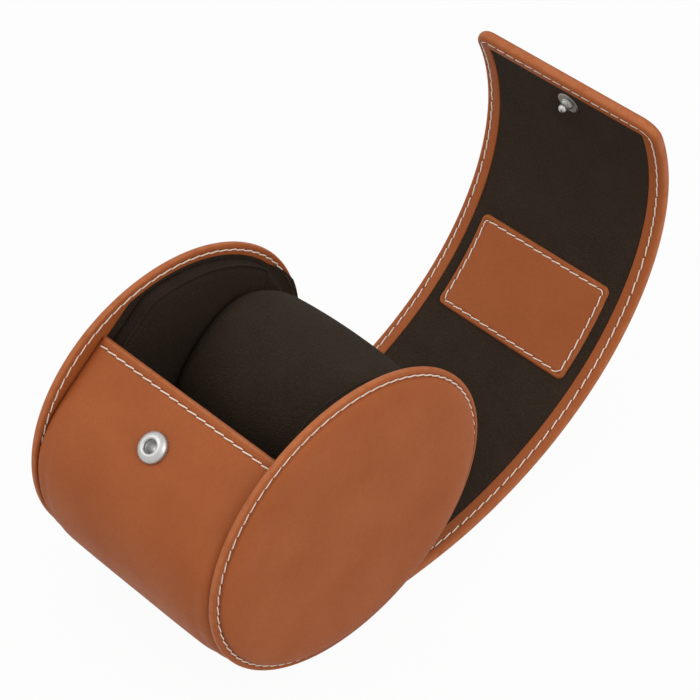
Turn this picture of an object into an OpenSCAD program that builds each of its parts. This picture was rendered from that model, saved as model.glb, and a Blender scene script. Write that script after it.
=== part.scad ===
// Travel case for one watch: a padded leather barrel between two oval end discs, a pillow that
// carries the watch, and a long flap that wraps over the back and the top and snaps to the front.
// Axes: X across the case, Y from front to back, Z up. The origin is the middle of the flat
// underside, below the centre of the end discs. Drawn open, with the flap laid back.

/* [Case] */
// Distance between the inner faces of the two end discs
case_w = 66; // [56:1:80]
// Length of an end disc, front to back
disc_l = 93.8; // [86:0.2:104]
// Height of an end disc
disc_h = 86.2; // [80:0.2:94]
// Thickness of an end disc at its rim
rim_t = 2.2; // [1.8:0.1:3]
// Rise of the padded outer face of an end disc above its rim
disc_crown = 1.8; // [0.8:0.1:4]
// Leather on the end discs
disc_skin = 0.8; // [0.6:0.1:1]
// Lining and turned leather edge on the inner face of a disc
facing_t = 0.6; // [0.4:0.1:0.9]
// Width of the leather edge turned onto the inner face of a disc
turn_w = 3.2; // [2:0.2:5]

/* [Barrel wall] */
// How far the padded wall stands proud of the discs' outline
wall_bulge = 0.8; // [0.4:0.1:1.5]
// Leather of the wall
wall_skin = 1.1; // [0.8:0.1:1.4]
// Foam under the leather at mid width
wall_foam = 1.8; // [1.7:0.1:2.6]
// Stiffening board
wall_board = 1.2; // [0.8:0.1:1.6]
// Lining of the well
wall_lining = 0.8; // [0.5:0.1:1.2]
// Width of the rounded shoulder beside each disc
shoulder_w = 4; // [2:0.5:8]
// Depth of the rounded shoulder beside each disc
shoulder_d = 1.5; // [0.5:0.1:1.6]
// Distance of the front edge ahead of the disc centre
front_edge_y = 21.5; // [18:0.5:24]
// Height of the front edge above the disc centre
front_edge_z = 34.5; // [32:0.5:36]
// Slope of the flat front panel, where the flap's end lands
front_slope = 38.4; // [36:0.2:42]
// Length of the flat front panel
front_flat = 19.5; // [18:0.5:22]
// Width of the leather turned in over the front edge
edge_turn = 7; // [4:0.5:12]

/* [Flap] */
// Length of the flap from the crease at the case's underside to its tip
flap_len = 183; // [176:0.5:190]
// Clearance between the flap's edge and a disc
flap_clear = 0.4; // [0.3:0.05:0.8]
// Leather of the flap
flap_skin = 1.1; // [0.8:0.1:1.2]
// Stiffening board in the flap
flap_board_t = 1.3; // [0.8:0.1:1.4]
// Lining of the flap, as thick as the border around it
flap_lining_t = 1; // [0.8:0.1:1.2]
// Width of the leather border around the lining
flap_border = 5.2; // [4:0.2:7]
// Radius of the two corners at the flap's tip
tip_r = 4.5; // [3:0.5:8]
// Direction that the open flap has turned through at its tip
flap_sweep = 120; // [110:1:125]
// Distance of the first crease behind the disc centre
root_y = 12; // [10:0.5:14]

/* [Label patch] */
// Width of the bare leather patch on the flap's lining
label_w = 46.8; // [36:0.2:50]
// Length of the patch along the flap
label_l = 30.5; // [24:0.5:31]
// Thickness of the patch
label_t = 0.8; // [0.5:0.1:1.2]
// Distance from the patch to the flap's tip
label_to_tip = 63.5; // [60:0.5:66]
// Corner radius of the patch
label_r = 2; // [1:0.5:4]

/* [Side pads] */
// Share of the disc's outline that a side pad fills
pad_ratio = 0.895; // [0.8:0.005:0.9]
// Height of a side pad at its piped edge
pad_edge_h = 3; // [2:0.1:4]
// Thickness of the pad's suede cover
pad_skin = 0.7; // [0.5:0.1:1]
// Clearance between a side pad and the pillow
pillow_clear = 0.3; // [0.2:0.05:0.5]

/* [Pillow] */
// Diameter of the pillow at mid width
pillow_d = 50.2; // [44:0.2:50.6]
// Length of the pillow
pillow_l = 52; // [40:0.5:56]
// Loss of diameter from the middle of the pillow to its ends
pillow_taper = 2; // [0:0.2:4]
// Rounding of the pillow's end edges
pillow_r = 2.2; // [1:0.2:4]
// Thickness of the pillow's suede cover
pillow_skin = 0.8; // [0.5:0.1:1.2]
// Distance of the pillow's axis behind the disc centre
pillow_y = 17; // [15:0.5:17]
// Height of the pillow's axis above the disc centre
pillow_z = 2.4; // [0:0.2:4]

/* [Snap] */
// Diameter of the domed cap of the socket
cap_d = 8.6; // [8:0.2:10]
// Height of the domed cap
cap_h = 1.6; // [1.2:0.1:2]
// Diameter of the hole in the cap
cap_hole = 4.2; // [4.2:0.1:4.6]
// Diameter of the stud's ball
ball_d = 3.2; // [2.8:0.1:3.4]
// Distance of the stud from the flap's tip
stud_to_tip = 11; // [9:0.5:13]
// Diameter of the stud's washer on the lining
washer_d = 6.8; // [6:0.2:8]
// Distance of the socket below the front edge, along the flat front panel
socket_to_edge = 15.6; // [12:0.2:17]

/* [Hidden] */
$fn = 48;

tan_leather = [0.63, 0.36, 0.23];
edge_leather = [0.54, 0.29, 0.18];
suede = [0.19, 0.16, 0.14];
foam_grey = [0.55, 0.55, 0.53];
board_grey = [0.42, 0.36, 0.29];
nickel = [0.78, 0.78, 0.80];

// ---- disc outline and wall path --------------------------------------------------------------
disc_a = disc_l / 2;
disc_b = disc_h / 2;
axis_z = disc_b;
wall_t = wall_skin + wall_foam + wall_board + wall_lining;
face_x = case_w / 2;

function oval(t, grow = 0) = [(disc_a + grow) * cos(t), (disc_b + grow) * sin(t)];
function unit(v) = v / norm(v);
function bezier(p, t) = pow(1 - t, 3) * p[0] + 3 * t * pow(1 - t, 2) * p[1]
  + 3 * t * t * (1 - t) * p[2] + pow(t, 3) * p[3];

front_dir = [-cos(front_slope), -sin(front_slope)];
front_out = [-sin(front_slope), cos(front_slope)];
front_edge = [-front_edge_y, front_edge_z];
front_end = front_edge + front_flat * front_dir;
// The flat front panel runs out into the oval at this angle of the oval.
join_t = 172;
join_p = oval(join_t, wall_bulge);
join_dir = unit([-(disc_a + wall_bulge) * sin(join_t), (disc_b + wall_bulge) * cos(join_t)]);
bend_len = norm(join_p - front_end) / 3;
knee = [front_end, front_end + bend_len * front_dir, join_p - bend_len * join_dir, join_p];
// The wall ends at the flap's first crease, on the flat underside.
root_t = 270 + asin(root_y / (disc_a + wall_bulge));

front_steps = 6;
knee_steps = 6;
oval_steps = 24;
function flat_foot(p) = [p[0], max(p[1], -disc_b)];
wall_path = concat(
  [for (i = [0 : front_steps - 1]) front_edge + front_flat * front_dir * i / front_steps],
  [for (i = [0 : knee_steps - 1]) bezier(knee, i / knee_steps)],
  [for (i = [0 : oval_steps - 1])
    flat_foot(oval(join_t + (root_t - join_t) * i / oval_steps, wall_bulge))],
  [[root_y, -disc_b]]);
wall_n = len(wall_path);
function wall_tangent(i) =
  unit(wall_path[min(i + 1, wall_n - 1)] - wall_path[max(i - 1, 0)]);
// Point of the wall at path index i, d below the outer surface.
function wall_in(i, d) =
  let (t = wall_tangent(i)) wall_path[i] + d * [-t[1], t[0]];

module along_x(w) { rotate([90, 0, 90]) linear_extrude(w, center = true) children(); }
module at_axis() { translate([0, 0, axis_z]) children(); }

module wall_band(d0, d1) {
  polygon(concat([for (i = [0 : wall_n - 1]) wall_in(i, d0)],
    [for (i = [wall_n - 1 : -1 : 0]) wall_in(i, d1)]));
}

// Closed sheet between two surfaces given as grids of points, rows of equal length.
module sheet(top, low) {
  r = len(top);
  c = len(top[0]);
  n = r * c;
  flat = concat([for (row = top) each row], [for (row = low) each row]);
  function quad(a, b, c, d) = [[a, b, c], [a, c, d]];
  faces = concat(
    [for (i = [0 : r - 2], j = [0 : c - 2])
      each quad(i * c + j, (i + 1) * c + j, (i + 1) * c + j + 1, i * c + j + 1)],
    [for (i = [0 : r - 2], j = [0 : c - 2])
      each quad(n + i * c + j, n + i * c + j + 1, n + (i + 1) * c + j + 1, n + (i + 1) * c + j)],
    [for (i = [0 : r - 2])
      each quad(i * c, n + i * c, n + (i + 1) * c, (i + 1) * c)],
    [for (i = [0 : r - 2])
      each quad(i * c + c - 1, (i + 1) * c + c - 1, n + (i + 1) * c + c - 1, n + i * c + c - 1)],
    [for (j = [0 : c - 2]) each quad(j, j + 1, n + j + 1, n + j)],
    [for (j = [0 : c - 2])
      each quad((r - 1) * c + j, n + (r - 1) * c + j, n + (r - 1) * c + j + 1, (r - 1) * c + j + 1)]);
  polyhedron(flat, faces, convexity = 6);
}

// Solid through closed rings of points from one pole to the other.
module lofted(rows, pole_a, pole_b, flip) {
  c = len(rows[0]);
  r = len(rows);
  pts = concat([for (row = rows) each row], [pole_a, pole_b]);
  a = r * c;
  faces = concat(
    [for (j = [0 : c - 1]) [a, (j + 1) % c, j]],
    [for (i = [0 : r - 2], j = [0 : c - 1]) each
      [[i * c + j, i * c + (j + 1) % c, (i + 1) * c + (j + 1) % c],
       [i * c + j, (i + 1) * c + (j + 1) % c, (i + 1) * c + j]]],
    [for (j = [0 : c - 1]) [a + 1, (r - 1) * c + j, (r - 1) * c + (j + 1) % c]]);
  polyhedron(pts, flip ? [for (f = faces) [f[2], f[1], f[0]]] : faces, convexity = 4);
}

// Stations across the wall, close together in the rounded shoulders.
shoulder_steps = 4;
wall_x = concat(
  [for (i = [0 : shoulder_steps - 1]) -face_x + shoulder_w * (1 - cos(90 * i / shoulder_steps))],
  [-face_x + shoulder_w, face_x - shoulder_w],
  [for (i = [shoulder_steps - 1 : -1 : 0]) face_x - shoulder_w * (1 - cos(90 * i / shoulder_steps))]);
function shoulder(x) =
  let (u = max(0, (abs(x) - (face_x - shoulder_w)) / shoulder_w))
  shoulder_d * (1 - sqrt(max(0, 1 - u * u)));
// Surface of the padded wall, d below the leather's outer face.
function wall_grid(d) = [for (i = [0 : wall_n - 1])
  let (q = [for (x = wall_x) wall_in(i, d + shoulder(x))])
  [for (j = [0 : len(wall_x) - 1]) [wall_x[j], q[j][0], q[j][1]]]];
function level_grid(d) = [for (i = [0 : wall_n - 1])
  let (p = wall_in(i, d)) [for (x = wall_x) [x, p[0], p[1]]]];

// ---- barrel ----------------------------------------------------------------------------------
socket_p = front_edge + socket_to_edge * front_dir;
module at_socket() {
  translate([0, socket_p[0], socket_p[1]]) rotate([front_slope, 0, 0]) children();
}
cup_r = 3.6;
cup_depth = 3.5;
cap_brim = 0.3;
fit = 0.05;
module socket_hole() {
  at_socket() translate([0, 0, -wall_t - 1]) cylinder(r = cup_r + fit, h = wall_t + 4);
}

module barrel_leather() {
  color(tan_leather) at_axis() difference() {
    sheet(wall_grid(0), wall_grid(wall_skin));
    socket_hole();
  }
}
// The leather's edge at the front, turned over the layers and down inside the well. Each point
// is [distance back from the edge, depth], for the visible face and for the face that is glued.
fold_over = 1.1;
fold_face = [[0, 0], [-0.7, 0.3], [-fold_over, 1.1], [-fold_over, wall_t - 0.9],
  [-0.7, wall_t - 0.1], [0, wall_t + 0.2], [edge_turn, wall_t + 0.2]];
fold_back = [[0, 0.2], [0, 0.5], [0, 1.1], [0, wall_t - wall_lining - 0.4],
  [0, wall_t - wall_lining - 0.2], [0, wall_t - wall_lining], [edge_turn, wall_t - wall_lining]];
function fold_grid(face) = [for (q = face) [for (x = wall_x)
  let (d = q[1] + shoulder(x) * max(0, 1 - q[1] / (wall_skin + wall_foam)),
    p = front_edge + q[0] * front_dir - d * front_out) [x, p[0], p[1]]]];
module front_edge_turn() {
  color(edge_leather) at_axis() sheet(fold_grid(fold_face), fold_grid(fold_back));
}
module barrel_padding() {
  color(foam_grey) at_axis() difference() {
    sheet(wall_grid(wall_skin), level_grid(wall_skin + wall_foam));
    socket_hole();
  }
}
module barrel_board() {
  d = wall_skin + wall_foam;
  color(board_grey) at_axis() difference() {
    along_x(case_w) wall_band(d, d + wall_board);
    socket_hole();
  }
}
module barrel_lining() {
  color(suede) at_axis() difference() {
    along_x(case_w) wall_band(wall_t - wall_lining, wall_t);
    // The turned leather edge takes the lining's place along the front.
    translate([0, front_edge[0], front_edge[1]]) rotate([front_slope, 0, 0])
      translate([-case_w, -edge_turn, -wall_t - 4]) cube([2 * case_w, edge_turn + 9, wall_t + 12]);
  }
}

// ---- end discs -------------------------------------------------------------------------------
// The domed parts are lofted through oval rings. A ring is inset from the disc's outline, is a
// share of what is left, and lies at height h above the disc's inner face. Side is 1 for the right
// disc and -1 for the left.
ring_steps = 60;
function disc_ring(side, inset, share, h) = [for (i = [0 : ring_steps - 1])
  let (t = 360 * i / ring_steps)
  [side * (face_x + h), share * (disc_a - inset) * cos(t), share * (disc_b - inset) * sin(t)]];
function crown(share) = disc_crown * (1 - share * share);
crown_shares = [0.2, 0.42, 0.64, 0.82, 0.95];
function inside_out(rows) = [for (i = [len(rows) - 1 : -1 : 0]) rows[i]];
under_skin = rim_t - disc_skin;
module disc_cover(side) {
  under = 0.97;
  rows = concat(
    [for (u = crown_shares) disc_ring(side, 0.3, u, rim_t + crown(u))],
    [disc_ring(side, 0.3, 1, rim_t - 0.1), disc_ring(side, 0, 1, rim_t - 0.6),
      disc_ring(side, 0, 1, facing_t + 0.3), disc_ring(side, 0.15, 1, facing_t),
      disc_ring(side, disc_skin, 1, facing_t), disc_ring(side, disc_skin, 1, under_skin)],
    inside_out([for (u = crown_shares)
      disc_ring(side, disc_skin, u, under_skin + crown(u) * under)]));
  color(tan_leather) at_axis()
    lofted(rows, [side * (face_x + rim_t + disc_crown), 0, 0],
      [side * (face_x + under_skin + disc_crown * under), 0, 0], side < 0);
}
module disc_padding(side) {
  soft = 0.93;
  rows = concat(
    [for (u = crown_shares) disc_ring(side, disc_skin, u, under_skin + crown(u) * soft)],
    [disc_ring(side, disc_skin + 0.3, 1, under_skin)]);
  color(foam_grey) at_axis()
    lofted(rows, [side * (face_x + under_skin + disc_crown * soft), 0, 0],
      [side * (face_x + under_skin), 0, 0], side < 0);
}
module oval_2d(grow = 0) { polygon([for (i = [0 : ring_steps - 1]) oval(360 * i / ring_steps, grow)]); }
// Arc of the rim, behind the flap's opening, where the lining runs out to the edge.
lining_from = -62;
lining_to = 22;
module back_sector(grow) {
  polygon(concat([[0, 0]],
    [for (t = [lining_from : 4 : lining_to]) oval(t, grow)]));
}
module disc_slab(side, h0, h1) {
  translate([side > 0 ? face_x + h0 : -face_x - h1, 0, axis_z]) rotate([90, 0, 90])
    linear_extrude(h1 - h0) children();
}
module disc_board(side) {
  color(board_grey) disc_slab(side, facing_t, rim_t - disc_skin) oval_2d(-disc_skin);
}
module disc_rim_strip(side) {
  color(edge_leather) disc_slab(side, 0, facing_t) difference() {
    oval_2d(-0.15);
    oval_2d(-turn_w);
    back_sector(9);
  }
}
module disc_lining(side) {
  color(suede) disc_slab(side, 0, facing_t) {
    oval_2d(-turn_w);
    intersection() {
      oval_2d(-0.15);
      back_sector(9);
    }
  }
}

// ---- side pads -------------------------------------------------------------------------------
pad_h = face_x - pillow_l / 2 - pillow_clear;
pad_c = [-2, -2];
pad_steps = 56;
pad_gap = 0.4;
// The pad ends at the back along a line that points at the pillow's axis.
pad_back_t = 55;
// Distance from the pad's middle to its outline in direction t, inset by d.
function to_line(t, p, n) =
  let (c = [cos(t), sin(t)] * n) c > 0.02 ? ((p - pad_c) * n) / c : 999;
function to_oval(t, a, b) =
  let (u = [cos(t) / a, sin(t) / b], w = [pad_c[0] / a, pad_c[1] / b],
    k = u * u, m = u * w) (-m + sqrt(m * m - k * (w * w - 1))) / k;
function pad_reach(t, d) =
  let (front_p = front_edge - (wall_t + pad_gap + d) * front_out,
    back_n = [sin(pad_back_t), -cos(pad_back_t)],
    back_p = [pillow_y, pillow_z] - d * back_n)
  min(to_oval(t, disc_a * pad_ratio - d, disc_b * pad_ratio - d),
    to_line(t, front_p, front_out), to_line(t, back_p, back_n));
// Height of the pad at share u of the way to its outline: a crown with a rounded, piped edge.
function pad_rise(u) = pad_edge_h + (pad_h - pad_edge_h) * (1 - pow(u, 2.6));
ring_u = [0.18, 0.45, 0.68, 0.85, 0.95, 1];
function pad_row(side, u, d) = [for (i = [0 : pad_steps - 1])
  let (t = 360 * i / pad_steps, r = u * pad_reach(t, d))
  [side * (face_x - pad_rise(u) + d + (u == 1 ? 0.8 : 0)),
    pad_c[0] + r * cos(t), pad_c[1] + r * sin(t)]];
function foot_row(side, d) = [for (i = [0 : pad_steps - 1])
  let (t = 360 * i / pad_steps, r = pad_reach(t, d))
  [side * face_x, pad_c[0] + r * cos(t), pad_c[1] + r * sin(t)]];

function pole(side, x) = [side * x, pad_c[0], pad_c[1]];
module side_pad_foam(side) {
  rows = concat([for (u = ring_u) pad_row(side, u, pad_skin)], [foot_row(side, pad_skin)]);
  color(foam_grey) at_axis()
    lofted(rows, pole(side, face_x - pad_h + pad_skin), pole(side, face_x), side > 0);
}
module side_pad_cover(side) {
  outer = concat([for (u = ring_u) pad_row(side, u, 0)], [foot_row(side, 0)]);
  inner = concat([for (u = ring_u) pad_row(side, u, pad_skin)], [foot_row(side, pad_skin)]);
  n = len(outer);
  rows = concat(outer, [for (i = [n - 1 : -1 : 0]) inner[i]]);
  color(suede) at_axis()
    lofted(rows, pole(side, face_x - pad_h), pole(side, face_x - pad_h + pad_skin), side > 0);
}

// ---- snap socket -----------------------------------------------------------------------------
cup_wall = 0.5;
cup_room_r = cup_r - cup_wall - 0.4;
spring_wire = 0.5;
module snap_socket_cap() {
  r = cap_d / 2;
  hole = cap_hole / 2;
  color(nickel) at_axis() at_socket() rotate_extrude() polygon(concat(
    [[hole, fit], [r, fit], [r, cap_brim]],
    [for (a = [15 : 15 : 75])
      [hole + 0.3 + (r - hole - 0.3) * cos(a), cap_brim + (cap_h - cap_brim) * sin(a)]],
    [[hole + 0.3, cap_h], [hole, cap_h - 0.3]]));
}
module snap_socket_cup() {
  color(nickel) at_axis() at_socket() rotate_extrude() polygon([
    [0, -cup_depth], [cup_r, -cup_depth], [cup_r, fit], [cup_room_r, fit],
    [cup_room_r, -cup_depth + cup_wall], [0, -cup_depth + cup_wall]]);
}
module snap_spring() {
  r = cup_room_r - spring_wire / 2;
  color(nickel) at_axis() at_socket() translate([0, 0, -0.9]) rotate([0, 0, 30])
    rotate_extrude(angle = 300) translate([r, 0]) circle(d = spring_wire, $fn = 16);
}

// ---- flap ------------------------------------------------------------------------------------
// The flap is leather over board that bends everywhere. Here it bends at nine creases, along the
// leather's outer face. Station s is the distance from the first crease along that face.
flap_t = flap_skin + flap_board_t + flap_lining_t;
flap_w = case_w - 2 * flap_clear;
label_s1 = flap_len - label_to_tip;
label_s0 = label_s1 - label_l;
stud_s = flap_len - stud_to_tip;
// Distance of the patch from the creases before and behind it.
label_room_front = 3;
label_room_back = 1.5;
// Length of the strip behind the patch, and of the last strip as far as the stud.
strip_7_l = 23;
stud_room = 9;
crease_b = label_s0 - label_room_front;
crease_c = label_s1 + label_room_back;
crease = [0, 0.163 * crease_b, 0.326 * crease_b, 0.488 * crease_b, 0.721 * crease_b, crease_b,
  crease_c, crease_c + strip_7_l, stud_s - stud_room, flap_len];
// Direction of the open flap at each crease and at the tip, as shares of the whole sweep.
sweep_share = [0, 0, 0.0375, 0.1, 0.1875, 0.308, 0.525, 0.692, 0.842, 1];
// Bend that each crease takes when the case is closed, in degrees.
close_bend = [24, 11.3, 11.9, 14.3, 18.4, 19, 8.3, 7, -5.3];
skin_gap = 0.15;
function crease_dir(i) = flap_sweep * sweep_share[i];
function sinc(h) = abs(h) < 0.01 ? 1 : sin(h) / (h * PI / 180);
// Run along segment i from its start over length v.
function arc_run(i, v) =
  let (whole = crease[i + 1] - crease[i], h = (crease_dir(i + 1) - crease_dir(i)) * v / whole / 2)
  v * sinc(h) * [cos(crease_dir(i) + h), sin(crease_dir(i) + h)];
function crease_p(i) = i == 0 ? [root_y, -disc_b]
  : crease_p(i - 1) + arc_run(i - 1, crease[i] - crease[i - 1]);
starts = [for (i = [0 : 8]) crease_p(i)];
function flap_dir(i, s) = crease_dir(i)
  + (crease_dir(i + 1) - crease_dir(i)) * (s - crease[i]) / (crease[i + 1] - crease[i]);
// Point on segment i at station s, d inside the leather's outer face.
function flap_p(i, s, d) = let (a = flap_dir(i, s))
  starts[i] + arc_run(i, s - crease[i]) + d * [-sin(a), cos(a)];
// The ends of a segment lean back, so that the creases can close. At the first crease the
// barrel wall's end is square, so the flap's end leans by the whole bend.
function lean(k, d) = skin_gap + d * tan(abs(close_bend[k]) / (k == 0 ? 1 : 2));
function from_s(i, d) = crease[i] + lean(i, d);
function to_s(i, d) = i == 8 ? flap_len : crease[i + 1] - lean(i + 1, d);
band_steps = 10;
// Play between the curved layers of the flap.
layer_gap = 0.03;
module flap_band(i, d0, d1, w, s0 = undef, s1 = undef) {
  a0 = is_undef(s0) ? from_s(i, d0) : s0;
  a1 = is_undef(s0) ? from_s(i, d1) : s0;
  b0 = is_undef(s1) ? to_s(i, d0) : s1;
  b1 = is_undef(s1) ? to_s(i, d1) : s1;
  along_x(w) polygon(concat(
    [for (k = [0 : band_steps]) flap_p(i, a0 + (b0 - a0) * k / band_steps, d0)],
    [for (k = [band_steps : -1 : 0]) flap_p(i, a1 + (b1 - a1) * k / band_steps, d1)]));
}
// Places children on segment i at station s, d inside the outer face, with Z pointing inward.
module on_flap(i, s, d) {
  p = flap_p(i, s, d);
  translate([0, p[0], p[1]]) rotate([flap_dir(i, s), 0, 0]) children();
}
// How far a cut reaches past the piece: beyond its surface, and along the flap over a crease.
cut_past = 1;
cut_over = 3;
// Removes the square corners of a plate that ends at station s; dir is 1 for its far end.
module round_corners(i, s, dir, half_w, r) {
  square = r + cut_past;
  for (side = [-1, 1])
    on_flap(i, s, flap_t / 2) translate([side * (half_w - r), -dir * r, -flap_t]) difference() {
      translate([side > 0 ? 0 : -square, dir > 0 ? 0 : -square, 0])
        cube([square, square, 2 * flap_t]);
      translate([0, 0, -cut_past]) cylinder(r = r, h = 2 * flap_t + 2 * cut_past);
    }
}
// Width of the leather's rolled edge, beside the board.
board_rim = 1.2;
// Distance of the lining's window from the leather's face.
window_foot = 0.2;
module flap_leather(i) {
  color(tan_leather) at_axis() difference() {
    flap_band(i, 0, flap_t, flap_w);
    // Room for the board between the leather's face and its turned border.
    flap_band(i, flap_skin, flap_skin + flap_board_t, flap_w - 2 * board_rim,
      crease[i] - cut_over, i == 8 ? flap_len - board_rim : crease[i + 1] + cut_over);
    // Window that the lining fills.
    flap_band(i, flap_skin + window_foot, flap_t + cut_past, flap_w - 2 * flap_border,
      crease[i] - cut_over, i == 8 ? flap_len - flap_border : crease[i + 1] + cut_over);
    if (i == 8) round_corners(i, flap_len, 1, flap_w / 2, tip_r);
    if (i == 8) stud_hole();
  }
}
module flap_board(i) {
  color(board_grey) at_axis() difference() {
    flap_band(i, flap_skin + layer_gap, flap_skin + flap_board_t - layer_gap,
      flap_w - 2 * board_rim, undef, i == 8 ? flap_len - board_rim : undef);
    if (i == 8)
      round_corners(i, flap_len - board_rim, 1, flap_w / 2 - board_rim, tip_r - board_rim);
    if (i == 8) stud_hole();
  }
}
module flap_lining(i) {
  color(suede) at_axis() difference() {
    flap_band(i, flap_skin + flap_board_t, flap_t, flap_w - 2 * flap_border - 2 * layer_gap,
      undef, i == 8 ? flap_len - flap_border : undef);
    if (i == 8) stud_hole();
  }
}
module label_patch() {
  color(tan_leather) at_axis() difference() {
    flap_band(5, flap_t + layer_gap, flap_t + label_t, label_w, label_s0, label_s1);
    round_corners(5, label_s1, 1, label_w / 2, label_r);
    round_corners(5, label_s0, -1, label_w / 2, label_r);
  }
}

// ---- snap stud -------------------------------------------------------------------------------
washer_h = 0.4;
// The lining curves under the flat washer, which touches it at two sides.
washer_lift = 0.11;
post_r = 1.15;
collar_h = 1.2;
ball_rise = 2.95;
anchor_r = 3.4;
// Floor of the anchor, which the stud's root stands on, and the play above the anchor.
anchor_floor = 0.5;
anchor_play = 0.1;
// Bevels of the washer and of the stud's collar.
washer_bevel = 0.5;
collar_bevel = 0.3;
module stud_hole() {
  on_flap(8, stud_s, flap_skin) cylinder(r = anchor_r + fit, h = flap_board_t);
  on_flap(8, stud_s, flap_skin) cylinder(r = post_r + fit, h = flap_t);
}
module snap_stud_anchor() {
  color(nickel) at_axis() on_flap(8, stud_s, flap_skin) difference() {
    cylinder(r = anchor_r, h = flap_board_t - anchor_play);
    translate([0, 0, anchor_floor]) cylinder(r = post_r, h = flap_t);
  }
}
module snap_stud_washer() {
  color(nickel) at_axis() on_flap(8, stud_s, flap_t) rotate_extrude() polygon([
    [post_r, washer_lift], [washer_d / 2, washer_lift], [washer_d / 2, washer_h / 2 + washer_lift],
    [washer_d / 2 - washer_bevel, washer_h], [post_r, washer_h]]);
}
module snap_stud() {
  ball_r = ball_d / 2;
  root = flap_skin + anchor_floor - flap_t;
  neck_a = asin(post_r / ball_r);
  color(nickel) at_axis() on_flap(8, stud_s, flap_t) rotate_extrude() polygon(concat(
    [[0, root], [post_r, root], [post_r, washer_h], [ball_r, washer_h],
      [ball_r, washer_h + collar_h - collar_bevel],
      [ball_r - collar_bevel, washer_h + collar_h]],
    [for (a = [neck_a : (180 - neck_a) / 12 : 179]) [ball_r * sin(a), ball_rise - ball_r * cos(a)]],
    [[0, ball_rise + ball_r]]));
}

// ---- pillow ----------------------------------------------------------------------------------
module on_pillow_axis() {
  translate([0, pillow_y, axis_z + pillow_z]) rotate([0, 90, 0]) children();
}
function pillow_radius(x, d) = pillow_d / 2 - d - pillow_taper / 2 * pow(2 * x / pillow_l, 2);
// Half outline of the pillow d inside its surface, from one end to the other.
function pillow_side(d) =
  let (h = pillow_l / 2 - d, r = max(0.4, pillow_r - d))
  concat(
    [for (a = [90 : -15 : 15]) [pillow_radius(h, d) - r + r * cos(a), -h + r - r * sin(a)]],
    [for (k = [-5 : 5]) let (x = (h - r) * k / 5) [pillow_radius(x, d), x]],
    [for (a = [15 : 15 : 90]) [pillow_radius(h, d) - r + r * cos(a), h - r + r * sin(a)]]);
module pillow_core() {
  d = pillow_skin;
  h = pillow_l / 2 - d;
  color(foam_grey) on_pillow_axis() rotate_extrude($fn = 72)
    polygon(concat([[0, -h]], pillow_side(d), [[0, h]]));
}
module pillow_cover() {
  h = pillow_l / 2;
  p = pillow_side(0);
  q = pillow_side(pillow_skin);
  n = len(q);
  color(suede) on_pillow_axis() rotate_extrude($fn = 72) polygon(concat(
    [[0, -h]], p, [[0, h], [0, h - pillow_skin]],
    [for (i = [n - 1 : -1 : 0]) q[i]], [[0, -h + pillow_skin]]));
}

barrel_leather();
barrel_padding();
barrel_board();
barrel_lining();
front_edge_turn();
disc_cover(-1);  // left_disc_cover
disc_rim_strip(-1);  // left_disc_rim_strip
disc_padding(-1);  // left_disc_padding
disc_board(-1);  // left_disc_board
disc_lining(-1);  // left_disc_lining
disc_cover(1);  // right_disc_cover
disc_rim_strip(1);  // right_disc_rim_strip
disc_padding(1);  // right_disc_padding
disc_board(1);  // right_disc_board
disc_lining(1);  // right_disc_lining
side_pad_cover(-1);  // left_side_pad_cover
side_pad_foam(-1);  // left_side_pad_foam
side_pad_cover(1);  // right_side_pad_cover
side_pad_foam(1);  // right_side_pad_foam
snap_socket_cap();
snap_socket_cup();
snap_spring();
for (i = [0 : 8]) {
  flap_leather(i);
  flap_board(i);
  flap_lining(i);
}
label_patch();
snap_stud();
snap_stud_washer();
snap_stud_anchor();
pillow_cover();
pillow_core();
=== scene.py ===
"""Dressed travel case for one watch: a leather barrel, two oval end discs, side pads, a pillow
and a long wrap-over flap with a snap. Lengths in the classes are in millimetres, in the CAD's
frame: X across the case, Y from front to back, Z up. A mesh gets metres when it is made."""

import logging
import math
from dataclasses import dataclass, field
from enum import Enum

import bpy
import numpy as np
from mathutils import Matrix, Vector


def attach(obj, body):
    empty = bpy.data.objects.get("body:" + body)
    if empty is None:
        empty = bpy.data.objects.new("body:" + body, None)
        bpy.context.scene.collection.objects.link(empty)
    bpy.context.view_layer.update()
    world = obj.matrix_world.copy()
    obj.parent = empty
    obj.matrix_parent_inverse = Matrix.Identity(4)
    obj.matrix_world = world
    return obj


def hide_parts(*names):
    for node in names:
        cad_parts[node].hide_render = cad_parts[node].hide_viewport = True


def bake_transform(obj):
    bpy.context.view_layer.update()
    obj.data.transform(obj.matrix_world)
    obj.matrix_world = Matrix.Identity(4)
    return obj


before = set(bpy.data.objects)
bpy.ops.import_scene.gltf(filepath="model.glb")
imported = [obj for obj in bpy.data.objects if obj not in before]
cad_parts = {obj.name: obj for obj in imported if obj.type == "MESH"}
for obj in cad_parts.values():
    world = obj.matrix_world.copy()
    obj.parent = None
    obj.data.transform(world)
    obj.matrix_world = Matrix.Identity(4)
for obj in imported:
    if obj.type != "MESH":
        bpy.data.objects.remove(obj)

Array = np.ndarray
Rgb = tuple[int, int, int]
Outline = list[tuple[float, float]]
MM = 0.001
LOG = logging.getLogger("watch_case")


class Side(Enum):
    """An end of the case, valued by the sign of its X."""

    LEFT = -1
    RIGHT = 1


class SeamPlace(Enum):
    """Where a row of stitches of an end disc runs."""

    OUTER = "outer face"
    INNER = "inner face"
    LINING = "back arc of the lining"


class FlapFace(Enum):
    """A face of the flap: the leather outside, or the side with the lining."""

    OUTSIDE = 0
    LINED = 1


# ---- numbers and shapes ------------------------------------------------------------------------


def smooth(t: Array) -> Array:
    """Soft step: 0 below 0, 1 above 1, and 3t^2 - 2t^3 between."""
    t = np.clip(t, 0.0, 1.0)
    return t * t * (3.0 - 2.0 * t)


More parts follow.
